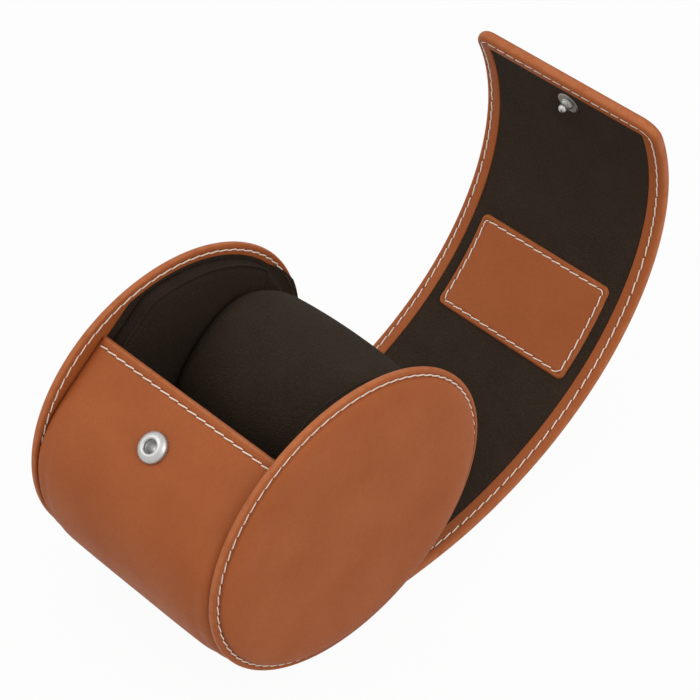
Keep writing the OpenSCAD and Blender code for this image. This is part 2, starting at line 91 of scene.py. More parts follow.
def ridge(x: Array, centre: float, width: float) -> Array:
    """Bell curve of height 1 at centre: exp(-((x - centre) / width)^2)."""
    return np.exp(-(((x - centre) / width) ** 2))


def unit(v: Array) -> Array:
    """Vectors of length 1 along the last axis."""
    return v / np.linalg.norm(v, axis=-1, keepdims=True)


def full_turn(count: int) -> Array:
    """Angles of count even steps round a circle, from 0, in radians."""
    return 2 * np.pi * np.arange(count) / count


def along(line: Array, run: Array, s: Array) -> Array:
    """Points of a line at distances s, by linear steps between its points at distances run."""
    return np.stack([np.interp(s, run, column) for column in line.T], -1)


def distance_along(line: Array) -> Array:
    """Running length of a line up to each of its points."""
    return np.concatenate([[0.0], np.cumsum(np.linalg.norm(np.diff(line, axis=0), axis=1))])


def inset_in_corner(a: Array, b: Array, r: float) -> Array:
    """Distance inside two square edges at distances a and b, whose corner is rounded by r."""
    far = np.hypot(np.maximum(r - a, 0), np.maximum(r - b, 0))
    return np.where((a < r) & (b < r), r - far, np.minimum(a, b))


def round_off(inset: Array, width: float) -> Array:
    """Drop of a face towards its edge by a quarter of an oval: 1 at the edge, 0 from width on."""
    u = np.clip(1 - inset / width, 0, 1)
    return 1 - np.sqrt(1 - u**2)


def bezier(corners: Array, count: int) -> Array:
    """Cubic that leaves the first of four corners towards the second and comes to the last from
    the third: the sum of the corners in the cubic's four shares."""
    u = np.linspace(0, 1, count)[:, None]
    shares = np.hstack([(1 - u) ** 3, 3 * u * (1 - u) ** 2, 3 * u**2 * (1 - u), u**3])
    return shares @ corners


def arc(centre: Array, r: float, turn: Array) -> Array:
    """Points of a flat circle of radius r round its centre, at the angles turn."""
    return centre + r * np.stack([np.cos(turn), np.sin(turn)], -1)


def marks_at(inset: Array, worn_and_lit: float, seam: float, seam_w: float) -> Array:
    """Masks at an inset: edge wear with a painted highlight fades inwards; a seam's painted shade
    is a ridge.
    """
    return np.stack([smooth((worn_and_lit - inset) / (worn_and_lit - 0.05)), ridge(inset, seam, seam_w)], -1)


def grid_faces(rows: int, around: int) -> Array:
    """Four-cornered faces between the rings of a grid of points, each ring closed."""
    i, j = np.meshgrid(np.arange(rows - 1), np.arange(around), indexing="ij")
    k = (j + 1) % around
    corners = [i * around + j, i * around + k, (i + 1) * around + k, (i + 1) * around + j]
    return np.stack(corners, -1).reshape(-1, 4)


def out_and_back(out: Array, back: Array) -> Array:
    """Loops that run along out and return along back, point beside point."""
    return np.concatenate([out, back[:, ::-1]], axis=1)


def graded(start: float, stop: float, count: int, first: float = 1.0) -> Array:
    """Stations from start to stop whose steps grow as the power first of the share of the way.

    Args:
        start: First station.
        stop: Last station.
        count: Number of stations.
        first: Power; above 1 the stations crowd towards start.

    Returns:
        The stations, with both ends.
    """
    return start + (stop - start) * np.linspace(0.0, 1.0, count) ** first


def bell_weights(half: int, width: float) -> Array:
    """Weights of a running mean: a bell curve over half steps each way, with the sum 1."""
    weights = ridge(np.arange(-half, half + 1), 0, width)
    return weights / weights.sum()


@dataclass(frozen=True)
class Case:
    """Sizes that several pieces share, as in the part's source."""

    face_x: float = 33.0
    disc_a: float = 46.9
    disc_b: float = 43.1
    axis_z: float = 43.1
    wall_t: float = 4.9
    wall_bulge: float = 0.8
    front_edge: tuple[float, float] = (-21.5, 34.5)
    front_slope: float = 38.4
    front_flat: float = 19.5
    root_y: float = 12.0
    pillow_axis: tuple[float, float] = (17.0, 2.4)

    def place(self, x: Array, y: Array, z: Array) -> Array:
        """Points from X and the side coordinates, whose origin is the centre of the discs."""
        x, y, z = np.broadcast_arrays(x, y, z)
        return np.stack([x, y, z + self.axis_z], axis=-1).astype(float)

    def front_ahead(self) -> Array:
        """Direction down the flat front panel, in the side view."""
        slope = math.radians(self.front_slope)
        return np.array([-math.cos(slope), -math.sin(slope)])

    def front_out(self) -> Array:
        """Outward normal of the flat front panel, in the side view."""
        slope = math.radians(self.front_slope)
        return np.array([-math.sin(slope), math.cos(slope)])


CASE = Case()


@dataclass
class Shell:
    """A closed surface as points and four-cornered faces; a triangle repeats a corner."""

    points: Array
    faces: Array
    uv: Array | None = None
    marks: Array | None = None

    # Coordinates that agree to this many decimals of a millimetre are one point.
    DECIMALS = 5

    @staticmethod
    def loft(rings: Array, pole_a: Array, pole_b: Array, marks: Array | None = None) -> "Shell":
        """Surface through closed rings of points, from pole_a over the first ring to pole_b.

        Args:
            rings: Points of shape (ring, around, 3).
            pole_a: Point that closes the first ring.
            pole_b: Point that closes the last ring.
            marks: Edge wear with a painted highlight, and painted shade of the sewn channel, from 0
                to 1, of shape (ring, around, 2).

        Returns:
            The closed shell.
        """
        r, c = rings.shape[:2]
        points = np.concatenate([rings.reshape(-1, 3), [pole_a], [pole_b]])
        j = np.arange(c)
        k = (j + 1) % c
        a, b = np.full(c, r * c), np.full(c, r * c + 1)
        first = np.stack([a, k, j, j], -1)
        last_j, last_k = (r - 1) * c + j, (r - 1) * c + k
        last = np.stack([b, last_j, last_k, last_k], -1)
        if marks is not None:
            marks = np.concatenate([marks.reshape(-1, 2), np.zeros((2, 2))])
        return Shell(points, np.concatenate([grid_faces(r, c), first, last]), marks=marks)

    @staticmethod
    def band(loops: Array, marks: Array | None = None) -> "Shell":
        """Surface through closed loops that go out on one face and back on the other.

        Args:
            loops: Points of shape (loop, around, 3). Point k of a loop faces point
                (around - 1 - k), so that the first and last loops close with a strip of quads.
            marks: Edge wear with a painted highlight, and painted shade of the sewn channel, from 0
                to 1, of shape (loop, around, 2).

        Returns:
            The closed shell.
        """
        r, c = loops.shape[:2]
        j = np.arange(c // 2 - 1)
        cap = np.stack([j, c - 1 - j, c - 2 - j, j + 1], -1)
        last = (r - 1) * c + cap[:, ::-1]
        marks = None if marks is None else marks.reshape(-1, 2)
        faces = np.concatenate([grid_faces(r, c), cap, last])
        return Shell(loops.reshape(-1, 3), faces, marks=marks)

    def tidy(self) -> "Shell":
        """Merges points that coincide, drops faces that collapse, and turns all faces outward."""
        rounded = np.round(self.points, self.DECIMALS)
        _, first, back = np.unique(rounded, axis=0, return_index=True, return_inverse=True)
        quads = back.reshape(-1)[self.faces]
        same = quads == np.roll(quads, -1, axis=1)
        whole = quads[same.sum(1) == 0]
        tris = []
        for corner in range(4):
            rows = quads[(same.sum(1) == 1) & same[:, corner]]
            tris.append(np.delete(rows, corner, axis=1))
        tri = np.concatenate(tris)
        tri = np.concatenate([tri, tri[:, 2:]], axis=1)
        points = self.points[first]
        faces = np.concatenate([whole, tri]).astype(int)
        a, b, c, d = (points[faces[:, n]] for n in range(4))
        volume = (np.cross(a, b) * c).sum() + (np.cross(a, c) * d).sum()
        if volume < 0:
            # A triangle keeps its repeated corner last.
            turned = faces[:, ::-1].copy()
            three = faces[:, 2] == faces[:, 3]
            turned[three] = faces[three][:, [1, 0, 2, 2]]
            faces = turned
        uv = None if self.uv is None else self.uv[first]
        marks = None if self.marks is None else self.marks[first]
        return Shell(points, faces, uv, marks)


def add_object(name: str, data: bpy.types.ID) -> bpy.types.Object:
    """Puts new data into the scene as an object at the origin."""
    obj = bpy.data.objects.new(name, data)
    bpy.context.scene.collection.objects.link(obj)
    return obj


def make_piece(
    name: str, shell: Shell, material: bpy.types.Material, sharp_rows: Array | None = None
) -> bpy.types.Object:
    """Puts a shell into a mesh object at the origin, in metres, with smooth faces.

    Args:
        name: Name of the piece.
        shell: Closed surface in millimetres.
        material: Finish of the piece.
        sharp_rows: Points, in millimetres, whose edges stay sharp, such as a cut end.

    Returns:
        The new object.
    """
    shell = shell.tidy()
    mesh = bpy.data.meshes.new(name)
    three = shell.faces[:, 2] == shell.faces[:, 3]
    counts = np.where(three, 3, 4)
    corner = np.arange(4)[None, :] < counts[:, None]
    loops = shell.faces[corner].astype(np.int32)
    mesh.vertices.add(len(shell.points))
    mesh.vertices.foreach_set("co", (shell.points * MM).astype(np.float32).ravel())
    mesh.loops.add(len(loops))
    mesh.loops.foreach_set("vertex_index", loops)
    starts = np.concatenate([[0], np.cumsum(counts)[:-1]])
    mesh.polygons.add(len(counts))
    mesh.polygons.foreach_set("loop_start", starts.astype(np.int32))
    mesh.update(calc_edges=True)
    mesh.polygons.foreach_set("use_smooth", np.ones(len(counts), bool))
    if shell.uv is not None:
        layer = mesh.uv_layers.new(name="along")
        layer.uv.foreach_set("vector", shell.uv[loops].astype(np.float32).ravel())
    if shell.marks is not None:
        for column, label in enumerate(("edge", "seam")):
            layer = mesh.attributes.new(label, "FLOAT", "POINT")
            layer.data.foreach_set("value", shell.marks[:, column].astype(np.float32))
    if sharp_rows is not None:
        keys = {tuple(p) for p in np.round(sharp_rows.reshape(-1, 3), Shell.DECIMALS)}
        marked = np.array([tuple(p) in keys for p in np.round(shell.points, Shell.DECIMALS)])
        edges = np.zeros(len(mesh.edges) * 2, np.int32)
        mesh.edges.foreach_get("vertices", edges)
        sharp = marked[edges.reshape(-1, 2)].all(1)
        mesh.attributes.new("sharp_edge", "BOOLEAN", "EDGE").data.foreach_set("value", sharp)
    mesh.materials.append(material)
    mesh.validate()
    LOG.info("%s: %d faces", name, len(counts))
    return add_object(name, mesh)


# ---- materials ---------------------------------------------------------------------------------


class Tree:
    """Short way to place and join the nodes of one material or node group."""

    def __init__(self, tree: bpy.types.NodeTree) -> None:
        """Keeps the tree that the nodes go into."""
        self.tree = tree

    def fill(self, node: bpy.types.Node, inputs: dict) -> None:
        """Sets a node's inputs, by name or index, to values or to the sockets that feed them."""
        for key, value in inputs.items():
            if isinstance(value, bpy.types.NodeSocket):
                self.tree.links.new(value, node.inputs[key])
            else:
                node.inputs[key].default_value = value

    def node(self, kind: str, inputs: dict | None = None, **props: object) -> bpy.types.Node:
        """Adds a node.

        Args:
            kind: Blender's name of the node type, without "ShaderNode" in front.
            inputs: Values or output sockets by input name or index.
            **props: Properties of the node.

        Returns:
            The new node.
        """
        node = self.tree.nodes.new(f"ShaderNode{kind}")
        for key, value in props.items():
            setattr(node, key, value)
        self.fill(node, inputs or {})
        return node

    def math(self, operation: str, a: object, b: object) -> bpy.types.NodeSocket:
        """Result of a Math node on two values or sockets."""
        return self.node("Math", {0: a, 1: b}, operation=operation).outputs[0]

    def spread(
        self, value: object, low: float, high: float, to_low: float, to_high: float
    ) -> bpy.types.NodeSocket:
        """Maps value from low..high to to_low..to_high, held at both ends."""
        ends = {"From Min": low, "From Max": high, "To Min": to_low, "To Max": to_high}
        return self.node("MapRange", {"Value": value, **ends}).outputs[0]

    def mix(self, factor: object, a: object, b: object) -> bpy.types.NodeSocket:
        """Blend of two colours."""
        # The Mix node keeps its colour sockets behind those for numbers and vectors.
        return self.node("Mix", {0: factor, 6: a, 7: b}, data_type="RGBA").outputs[2]

    def noise(self, scale: object, detail: float, roughness: float = 0.5) -> bpy.types.Node:
        """Noise on the object's own coordinates, in features per metre."""
        at = self.node("TexCoord").outputs["Object"]
        values = {"Vector": at, "Scale": scale, "Detail": detail, "Roughness": roughness}
        return self.node("TexNoise", values)

    def bump(self, strength: float, distance: float, height: object) -> bpy.types.NodeSocket:
        """Normal that a height gives to the surface."""
        values = {"Strength": strength, "Distance": distance, "Height": height}
        return self.node("Bump", values).outputs[0]


def new_group(
    name: str, inputs: dict[str, float], outputs: list[str]
) -> tuple[bpy.types.NodeTree, Tree, bpy.types.Node, bpy.types.Node]:
    """Starts a shader node group.

    Args:
        name: Name of the group.
        inputs: Starting values of its float inputs by name.
        outputs: Names of its float outputs.

    Returns:
        The group, a Tree on it, and its input and output nodes.
    """
    group = bpy.data.node_groups.new(name, "ShaderNodeTree")
    for label, value in inputs.items():
        socket = group.interface.new_socket(label, in_out="INPUT", socket_type="NodeSocketFloat")
        socket.default_value = value
    for label in outputs:
        group.interface.new_socket(label, in_out="OUTPUT", socket_type="NodeSocketFloat")
    nodes = group.nodes
    return group, Tree(group), nodes.new("NodeGroupInput"), nodes.new("NodeGroupOutput")


def grain_group() -> bpy.types.NodeTree:
    """Fine hide grain: pebbles of a cell pattern, crossed by soft creases.

    Returns:
        A group with Cell (pebbles per metre) and Crease (strength) inputs, and Height and Pore
        outputs.
    """
    group, t, ins, outs = new_group(
        "hide_grain", {"Cell": 1500.0, "Crease": 0.5}, ["Height", "Pore"]
    )
    at = t.node("TexCoord").outputs["Object"]
    # The cells are drawn on points pushed about by a slow noise, so that no row shows.
    bend = t.noise(420.0, 2.0).outputs["Color"]
    push = t.node("VectorMath", {0: bend, "Scale": 0.0007}, operation="SCALE").outputs[0]
    bent = t.node("VectorMath", {0: at, 1: push}, operation="ADD").outputs[0]
    cells = t.node(
        "TexVoronoi", {"Vector": bent, "Scale": ins.outputs["Cell"]}, feature="DISTANCE_TO_EDGE"
    )
    pebble = t.spread(cells.outputs["Distance"], 0.0, 0.28, 0.0, 1.0)
    crease = t.noise(260.0, 5.0, 0.62).outputs["Fac"]
    soft = t.math("MULTIPLY", crease, ins.outputs["Crease"])
    height = t.math("ADD", t.math("MULTIPLY", pebble, 0.5), soft)
    t.fill(outs, {"Height": height, "Pore": pebble})
    return group


def mottle_group() -> bpy.types.NodeTree:
    """Soft clouds of colour at two sizes, from 0 to 1.

    Returns:
        A group with Size (clouds per metre) and Fine (share of the finer clouds) inputs and a
        Mask output.
    """
    group, t, ins, outs = new_group("mottle", {"Size": 45.0, "Fine": 0.4}, ["Mask"])
    size, share = ins.outputs["Size"], ins.outputs["Fine"]
    large = t.noise(size, 3.0).outputs["Fac"]
    fine = t.noise(t.math("MULTIPLY", size, 14.0), 4.0, 0.6).outputs["Fac"]
    whole = t.math("MULTIPLY", large, t.math("SUBTRACT", 1.0, share))
    mask = t.math("ADD", whole, t.math("MULTIPLY", fine, share))
    t.fill(outs, {"Mask": t.spread(mask, 0.35, 0.65, 0.0, 1.0)})
    return group


def wear_and_painted_light_group() -> bpy.types.NodeTree:
    """Rubbed edges, which also carry a painted highlight, and painted shade in the seams, from the
    marks on a piece and a patchy noise.

    Returns:
        A group with Spread (share of the edge that is rubbed) as input, and two masks: the rubbed
        edge with its painted highlight, and the painted shade of the seams.
    """
    group, t, ins, outs = new_group("edge_wear_and_painted_light", {"Spread": 0.5}, ["Rubbed_and_highlight", "Seam"])
    edge = t.node("Attribute", attribute_name="edge").outputs["Fac"]
    seam = t.node("Attribute", attribute_name="seam").outputs["Fac"]
    patch = t.noise(320.0, 5.0, 0.65).outputs["Fac"]
    level = t.math("ADD", t.math("MULTIPLY", edge, ins.outputs["Spread"]), patch)
    # Rubbed edge: patchy wear that also paints the highlight of the rounded edge.
    rubbed_and_highlight = t.math("MULTIPLY", t.spread(level, 0.8, 1.1, 0.0, 1.0), edge)
    # Painted shade in the sewn channel, patchy.
    seam_shade = t.math("MULTIPLY", seam, t.spread(patch, 0.3, 0.6, 0.7, 1.0))
    t.fill(outs, {"Rubbed_and_highlight": rubbed_and_highlight, "Seam": seam_shade})
    return group


def linear(rgb: Rgb) -> tuple[float, float, float, float]:
    """Scene colour of an 8-bit screen colour, by the screen's transfer curve."""
    c = np.array(rgb) / 255.0
    c = np.where(c <= 0.04045, c / 12.92, ((c + 0.055) / 1.055) ** 2.4)
    return (float(c[0]), float(c[1]), float(c[2]), 1.0)


@dataclass(frozen=True)
class Finish:
    """A finish with the name of its material; each kind lays its own nodes."""

    name: str

    def build(self, groups: dict[str, bpy.types.NodeTree]) -> bpy.types.Material:
        """Makes the material.

        Args:
            groups: The shared node groups by name.

        Returns:
            The material.
        """
        mat = bpy.data.materials.new(self.name)
        mat.use_nodes = True
        self.lay(Tree(mat.node_tree), mat.node_tree.nodes["Principled BSDF"], groups)
        return mat

    def lay(
        self, t: Tree, shader: bpy.types.Node, groups: dict[str, bpy.types.NodeTree]
    ) -> None:
        """Lays the nodes that feed the shader."""
        raise NotImplementedError


@dataclass(frozen=True)
class Leather(Finish):
    """Smooth tan calf leather with a fine grain, slightly darker in its pores, rubbed lighter along
    its edges, which is also a painted highlight on their rounding, and with painted shade in its
    seams."""

    name: str = "tan_leather"
    light: Rgb = (163, 88, 45)
    dark: Rgb = (155, 82, 41)
    pore_tint: Rgb = (96, 44, 20)
    # Lighter edges: wear and a painted highlight.
    rubbed_and_highlight_tint: Rgb = (196, 122, 78)
    # Painted shade in the sewn channels.
    seam_shade_tint: Rgb = (92, 42, 20)
    pore: float = 0.10
    cell: float = 1700.0
    roughness: float = 0.6
    bump: float = 0.18
    wear_and_painted_light: float = 0.55

    def lay(
        self, t: Tree, shader: bpy.types.Node, groups: dict[str, bpy.types.NodeTree]
    ) -> None:
        """Lays clouds of two tans, then pores, edges rubbed lighter with a painted highlight, and
        painted shade in the seams over them.
        """
        grain = t.node("Group", {"Cell": self.cell, "Crease": 0.8}, node_tree=groups["hide_grain"])
        cloud = t.node("Group", {"Size": 55.0, "Fine": 0.35}, node_tree=groups["mottle"])
        wear_and_painted_light = t.node("Group", {"Spread": self.wear_and_painted_light}, node_tree=groups["edge_wear_and_painted_light"])
        mask, rubbed_and_highlight = cloud.outputs["Mask"], wear_and_painted_light.outputs["Rubbed_and_highlight"]
        colour = t.mix(mask, linear(self.dark), linear(self.light))
        pore = t.spread(grain.outputs["Pore"], 0.0, 0.5, self.pore, 0.0)
        colour = t.mix(pore, colour, linear(self.pore_tint))
        # Painted highlight, with wear, along the edges.
        colour = t.mix(t.math("MULTIPLY", rubbed_and_highlight, 0.35), colour, linear(self.rubbed_and_highlight_tint))
        # Painted shade in the sewn channels.
        seam_shade = t.math("MULTIPLY", wear_and_painted_light.outputs["Seam"], 0.5)
        colour = t.mix(seam_shade, colour, linear(self.seam_shade_tint))
        rough = t.spread(mask, 0.0, 1.0, self.roughness + 0.05, self.roughness - 0.04)
        rough = t.math("SUBTRACT", rough, t.math("MULTIPLY", rubbed_and_highlight, 0.12))
        relief = t.bump(self.bump, 0.0004, grain.outputs["Height"])
        t.fill(shader, {"Base Color": colour, "Roughness": rough, "Normal": relief})
        t.fill(shader, {"Specular IOR Level": 0.17})


@dataclass(frozen=True)
class Suede(Finish):
    """Dark brown microsuede: a short nap that lightens at grazing angles, with fine grain."""

    name: str = "dark_suede"
    light: Rgb = (47, 36, 27)
    dark: Rgb = (33, 25, 18)
    fleck: Rgb = (66, 54, 42)
    sheen: float = 0.03
    bump: float = 0.9

    def lay(
        self, t: Tree, shader: bpy.types.Node, groups: dict[str, bpy.types.NodeTree]
    ) -> None:
        """Lays clouds of two browns, then light flecks of raised nap and of pits over them."""
        cloud = t.node("Group", {"Size": 90.0, "Fine": 0.6}, node_tree=groups["mottle"])
        grain = t.node("Group", {"Cell": 1300.0, "Crease": 1.0}, node_tree=groups["hide_grain"])
        nap = t.noise(5200.0, 2.0).outputs["Fac"]
        base = t.mix(cloud.outputs["Mask"], linear(self.dark), linear(self.light))
        raised = t.spread(nap, 0.35, 0.7, 0.0, 0.3)
        pitted = t.spread(grain.outputs["Pore"], 0.0, 1.0, 0.0, 0.22)
        colour = t.mix(t.math("ADD", raised, pitted), base, linear(self.fleck))
        height = t.math("ADD", t.math("MULTIPLY", nap, 0.35), grain.outputs["Height"])
        relief = t.bump(self.bump, 0.0003, height)
        t.fill(shader, {"Base Color": colour, "Normal": relief})
        t.fill(shader, {"Roughness": 0.9, "Specular IOR Level": 0.12})
        t.fill(shader, {"Sheen Weight": self.sheen, "Sheen Roughness": 0.5})
        t.fill(shader, {"Sheen Tint": linear((150, 135, 120))})


@dataclass(frozen=True)
class Thread(Finish):
    """Waxed cream thread with the twist of its plies."""

    name: str = "cream_thread"
    light: Rgb = (253, 236, 221)
    dark: Rgb = (232, 204, 184)
    twist: float = 4.0

    def lay(
        self, t: Tree, shader: bpy.types.Node, groups: dict[str, bpy.types.NodeTree]
    ) -> None:
        """Lays two plies that wind round each stitch twist times, by a sine of its own map."""
        uv = t.node("UVMap", uv_map="along").outputs[0]
        part = t.node("SeparateXYZ", {0: uv})
        lay = t.math("ADD", t.math("MULTIPLY", part.outputs[0], self.twist), part.outputs[1])
        wave = t.math("SINE", t.math("MULTIPLY", lay, 4.0 * math.pi), 0.0)
        ply = t.spread(wave, -1.0, 1.0, 0.0, 1.0)
        colour = t.mix(ply, linear(self.dark), linear(self.light))
        relief = t.bump(0.6, 0.00012, ply)
        t.fill(shader, {"Base Color": colour, "Normal": relief, "Roughness": 0.6})


@dataclass(frozen=True)
class Nickel(Finish):
    """Satin nickel plate with faint handling marks."""

    name: str = "nickel_plate"
    colour: Rgb = (190, 189, 187)
    roughness: float = 0.4

    def lay(
        self, t: Tree, shader: bpy.types.Node, groups: dict[str, bpy.types.NodeTree]
    ) -> None:
        """Lays plain metal whose roughness wanders in small clouds."""
        cloud = t.node("Group", {"Size": 700.0, "Fine": 0.5}, node_tree=groups["mottle"])
        low, high = self.roughness - 0.05, self.roughness + 0.08
        rough = t.spread(cloud.outputs["Mask"], 0.0, 1.0, low, high)
        t.fill(shader, {"Roughness": rough, "Base Color": linear(self.colour), "Metallic": 1.0})


@dataclass
class Finishes:
    """The materials of the object, made once. The suede of the pads is a little darker than the
    rest; that of the flap is a lighter copy, painted light that brightens the flap."""

    leather: bpy.types.Material = field(init=False)
    suede: bpy.types.Material = field(init=False)
    pad_suede: bpy.types.Material = field(init=False)
    flap_suede_painted_lighter: bpy.types.Material = field(init=False)
    thread: bpy.types.Material = field(init=False)
    dark_thread: bpy.types.Material = field(init=False)
    nickel: bpy.types.Material = field(init=False)
    dull_nickel: bpy.types.Material = field(init=False)

    def __post_init__(self) -> None:
        """Builds the node groups and each material on them."""
        groups = {g.name: g for g in (grain_group(), mottle_group(), wear_and_painted_light_group())}
        pads = Suede("pad_suede", (42, 32, 24), (30, 22, 16), (59, 48, 38))
        # Lighter copy of the suede: painted light on the flap.
        flap = Suede("flap_suede_painted_lighter", (50, 38, 29), (35, 27, 19), (70, 57, 45))
        self.leather = Leather().build(groups)
        self.suede = Suede().build(groups)
        self.pad_suede = pads.build(groups)
        self.flap_suede_painted_lighter = flap.build(groups)
        self.thread = Thread().build(groups)
        self.dark_thread = Thread("brown_thread", (70, 46, 30), (42, 28, 20)).build(groups)
        self.nickel = Nickel().build(groups)
        self.dull_nickel = Nickel("dull_nickel", (146, 141, 135), 0.42).build(groups)


# ---- stitches ----------------------------------------------------------------------------------


@dataclass(frozen=True)
class Stitching:
    """A row of slanted stitches of one thread."""

    pitch: float = 3.4
    dash: float = 3.6
    slant: float = 0.2
    radius: float = 0.215
    rise: float = 0.15
    sink: float = 0.3
    taper: float = 0.45
    rings: int = 11
    around: int = 6

    def row(self, line: Array, normal: Array, closed: bool = False) -> Shell:
        """Stitches along a line on a surface. Each is a straight tube whose middle stands rise
        above the line and whose ends dive sink below it, by the tenth power of the share of its
        half length, and which thins by taper towards them.

        Args:
            line: Points of the line, shape (n, 3).
            normal: The surface's outward normals there.
            closed: Whether the line returns to its start.

        Returns:
            One shell that holds all the stitches.
        """
        if closed:
            line, normal = np.vstack([line, line[:1]]), np.vstack([normal, normal[:1]])
        run = distance_along(line)
        count = max(1, round(run[-1] / self.pitch))
        pitch = run[-1] / count
        middle = (np.arange(count) + 0.5) * pitch
        half = self.dash / 2 * pitch / self.pitch
        a, b = along(line, run, middle - half), along(line, run, middle + half)
        up = unit(along(normal, run, middle))
        side = unit(np.cross(up, unit(b - a)))
        q = np.sin(np.linspace(-np.pi / 2, np.pi / 2, self.rings))
        # The chord of a curved line lies below it, so the sagitta goes back in.
        sagitta = along(line, run, middle) - (a + b) / 2
        lift = self.rise - (self.rise + self.sink) * q**10
        mid = (a + b)[:, None] / 2 + (b - a)[:, None] / 2 * q[:, None]
        mid = mid + sagitta[:, None] * (1 - q**2)[:, None]
        mid = mid + side[:, None] * (self.slant * q)[:, None] + up[:, None] * lift[:, None]
        turn = full_turn(self.around)
        ring = np.cos(turn)[:, None] * side[:, None, None]
        ring = ring + np.sin(turn)[:, None] * up[:, None, None]
        thick = self.radius * (1 - self.taper * q**8)
        tube = mid[:, :, None] + ring * thick[:, None, None]
        size = self.rings * self.around
        ends = [tube.reshape(count, size, 3), mid[:, :1], mid[:, -1:]]
        one = Shell.loft(tube[0], mid[0, 0], mid[0, -1]).faces
        faces = one + (size + 2) * np.arange(count)[:, None, None]
        share = np.concatenate([np.repeat(q * 0.5 + 0.5, self.around), [0.0, 1.0]])
        spin = np.concatenate([np.tile(turn / (2 * np.pi), self.rings), [0.0, 0.0]])
        uv = np.tile(np.stack([share, spin], -1), (count, 1))
        return Shell(np.concatenate(ends, axis=1).reshape(-1, 3), faces.reshape(-1, 4), uv)


def joined(shells: list[Shell]) -> Shell:
    """Several shells as one."""
    offsets = np.cumsum([0] + [len(s.points) for s in shells[:-1]])
    points = np.concatenate([s.points for s in shells])
    faces = np.concatenate([s.faces + offset for s, offset in zip(shells, offsets)])
    return Shell(points, faces, np.concatenate([s.uv for s in shells]))


# ---- barrel ------------------------------------------------------------------------------------


@dataclass
class WallLine:
    """Side line of the barrel wall: a flat front panel, a soft knee, then the oval underneath."""

    case: Case = CASE
    join_t: float = 172.0
    step: float = 0.2
    soft_steps: int = 15
    soft_w: float = 7.0
    points: Array = field(init=False)
    run: Array = field(init=False)

    def __post_init__(self) -> None:
        """Works out the line: straight for front_flat, a cubic whose ends follow both neighbours,
        then the disc's oval grown by wall_bulge and cut flat at the underside, all softened."""
        c = self.case
        ahead = c.front_ahead()
        start = np.array(c.front_edge)
        a, b = c.disc_a + c.wall_bulge, c.disc_b + c.wall_bulge
        t0 = math.radians(self.join_t)
        join = np.array([a * math.cos(t0), b * math.sin(t0)])
        leave = unit(np.array([-a * math.sin(t0), b * math.cos(t0)]))
        flat_end = start + c.front_flat * ahead
        arm = np.linalg.norm(join - flat_end) / 3
        knee = bezier(np.stack([flat_end, flat_end + arm * ahead, join - arm * leave, join]), 60)
        t = np.linspace(t0, 1.5 * math.pi, 300)[1:, None]
        oval = np.hstack([a * np.cos(t), np.maximum(b * np.sin(t), -c.disc_b)])
        line = np.vstack([start, knee, oval, [c.root_y, -c.disc_b]])
        run = distance_along(line)
        self.run = np.arange(0, run[-1], self.step)
        fine = along(line, run, self.run)
        n = self.soft_steps
        before, after = 2 * fine[0] - fine[n:0:-1], 2 * fine[-1] - fine[-2 : -n - 2 : -1]
        weights = bell_weights(n, self.soft_w)
        columns = np.vstack([before, fine, after]).T
        self.points = np.stack([np.convolve(column, weights, "valid") for column in columns], -1)

    def at(self, s: Array, depth: Array) -> Array:
        """Side points at distance s from the front edge, depth inside the outer face.

        Args:
            s: Distances along the line; below 0 the front panel is drawn on straight.
            depth: Depths, square to the line.

        Returns:
            Side coordinates along a last axis of 2.
        """
        s, depth = np.broadcast_arrays(s, depth)
        tangent = unit(np.gradient(self.points, self.step, axis=0))
        t = unit(along(tangent, self.run, s))
        inward = np.stack([-t[..., 1], t[..., 0]], -1)
        on = along(self.points, self.run, s) + np.minimum(s, 0.0)[..., None] * t
        return on + depth[..., None] * inward


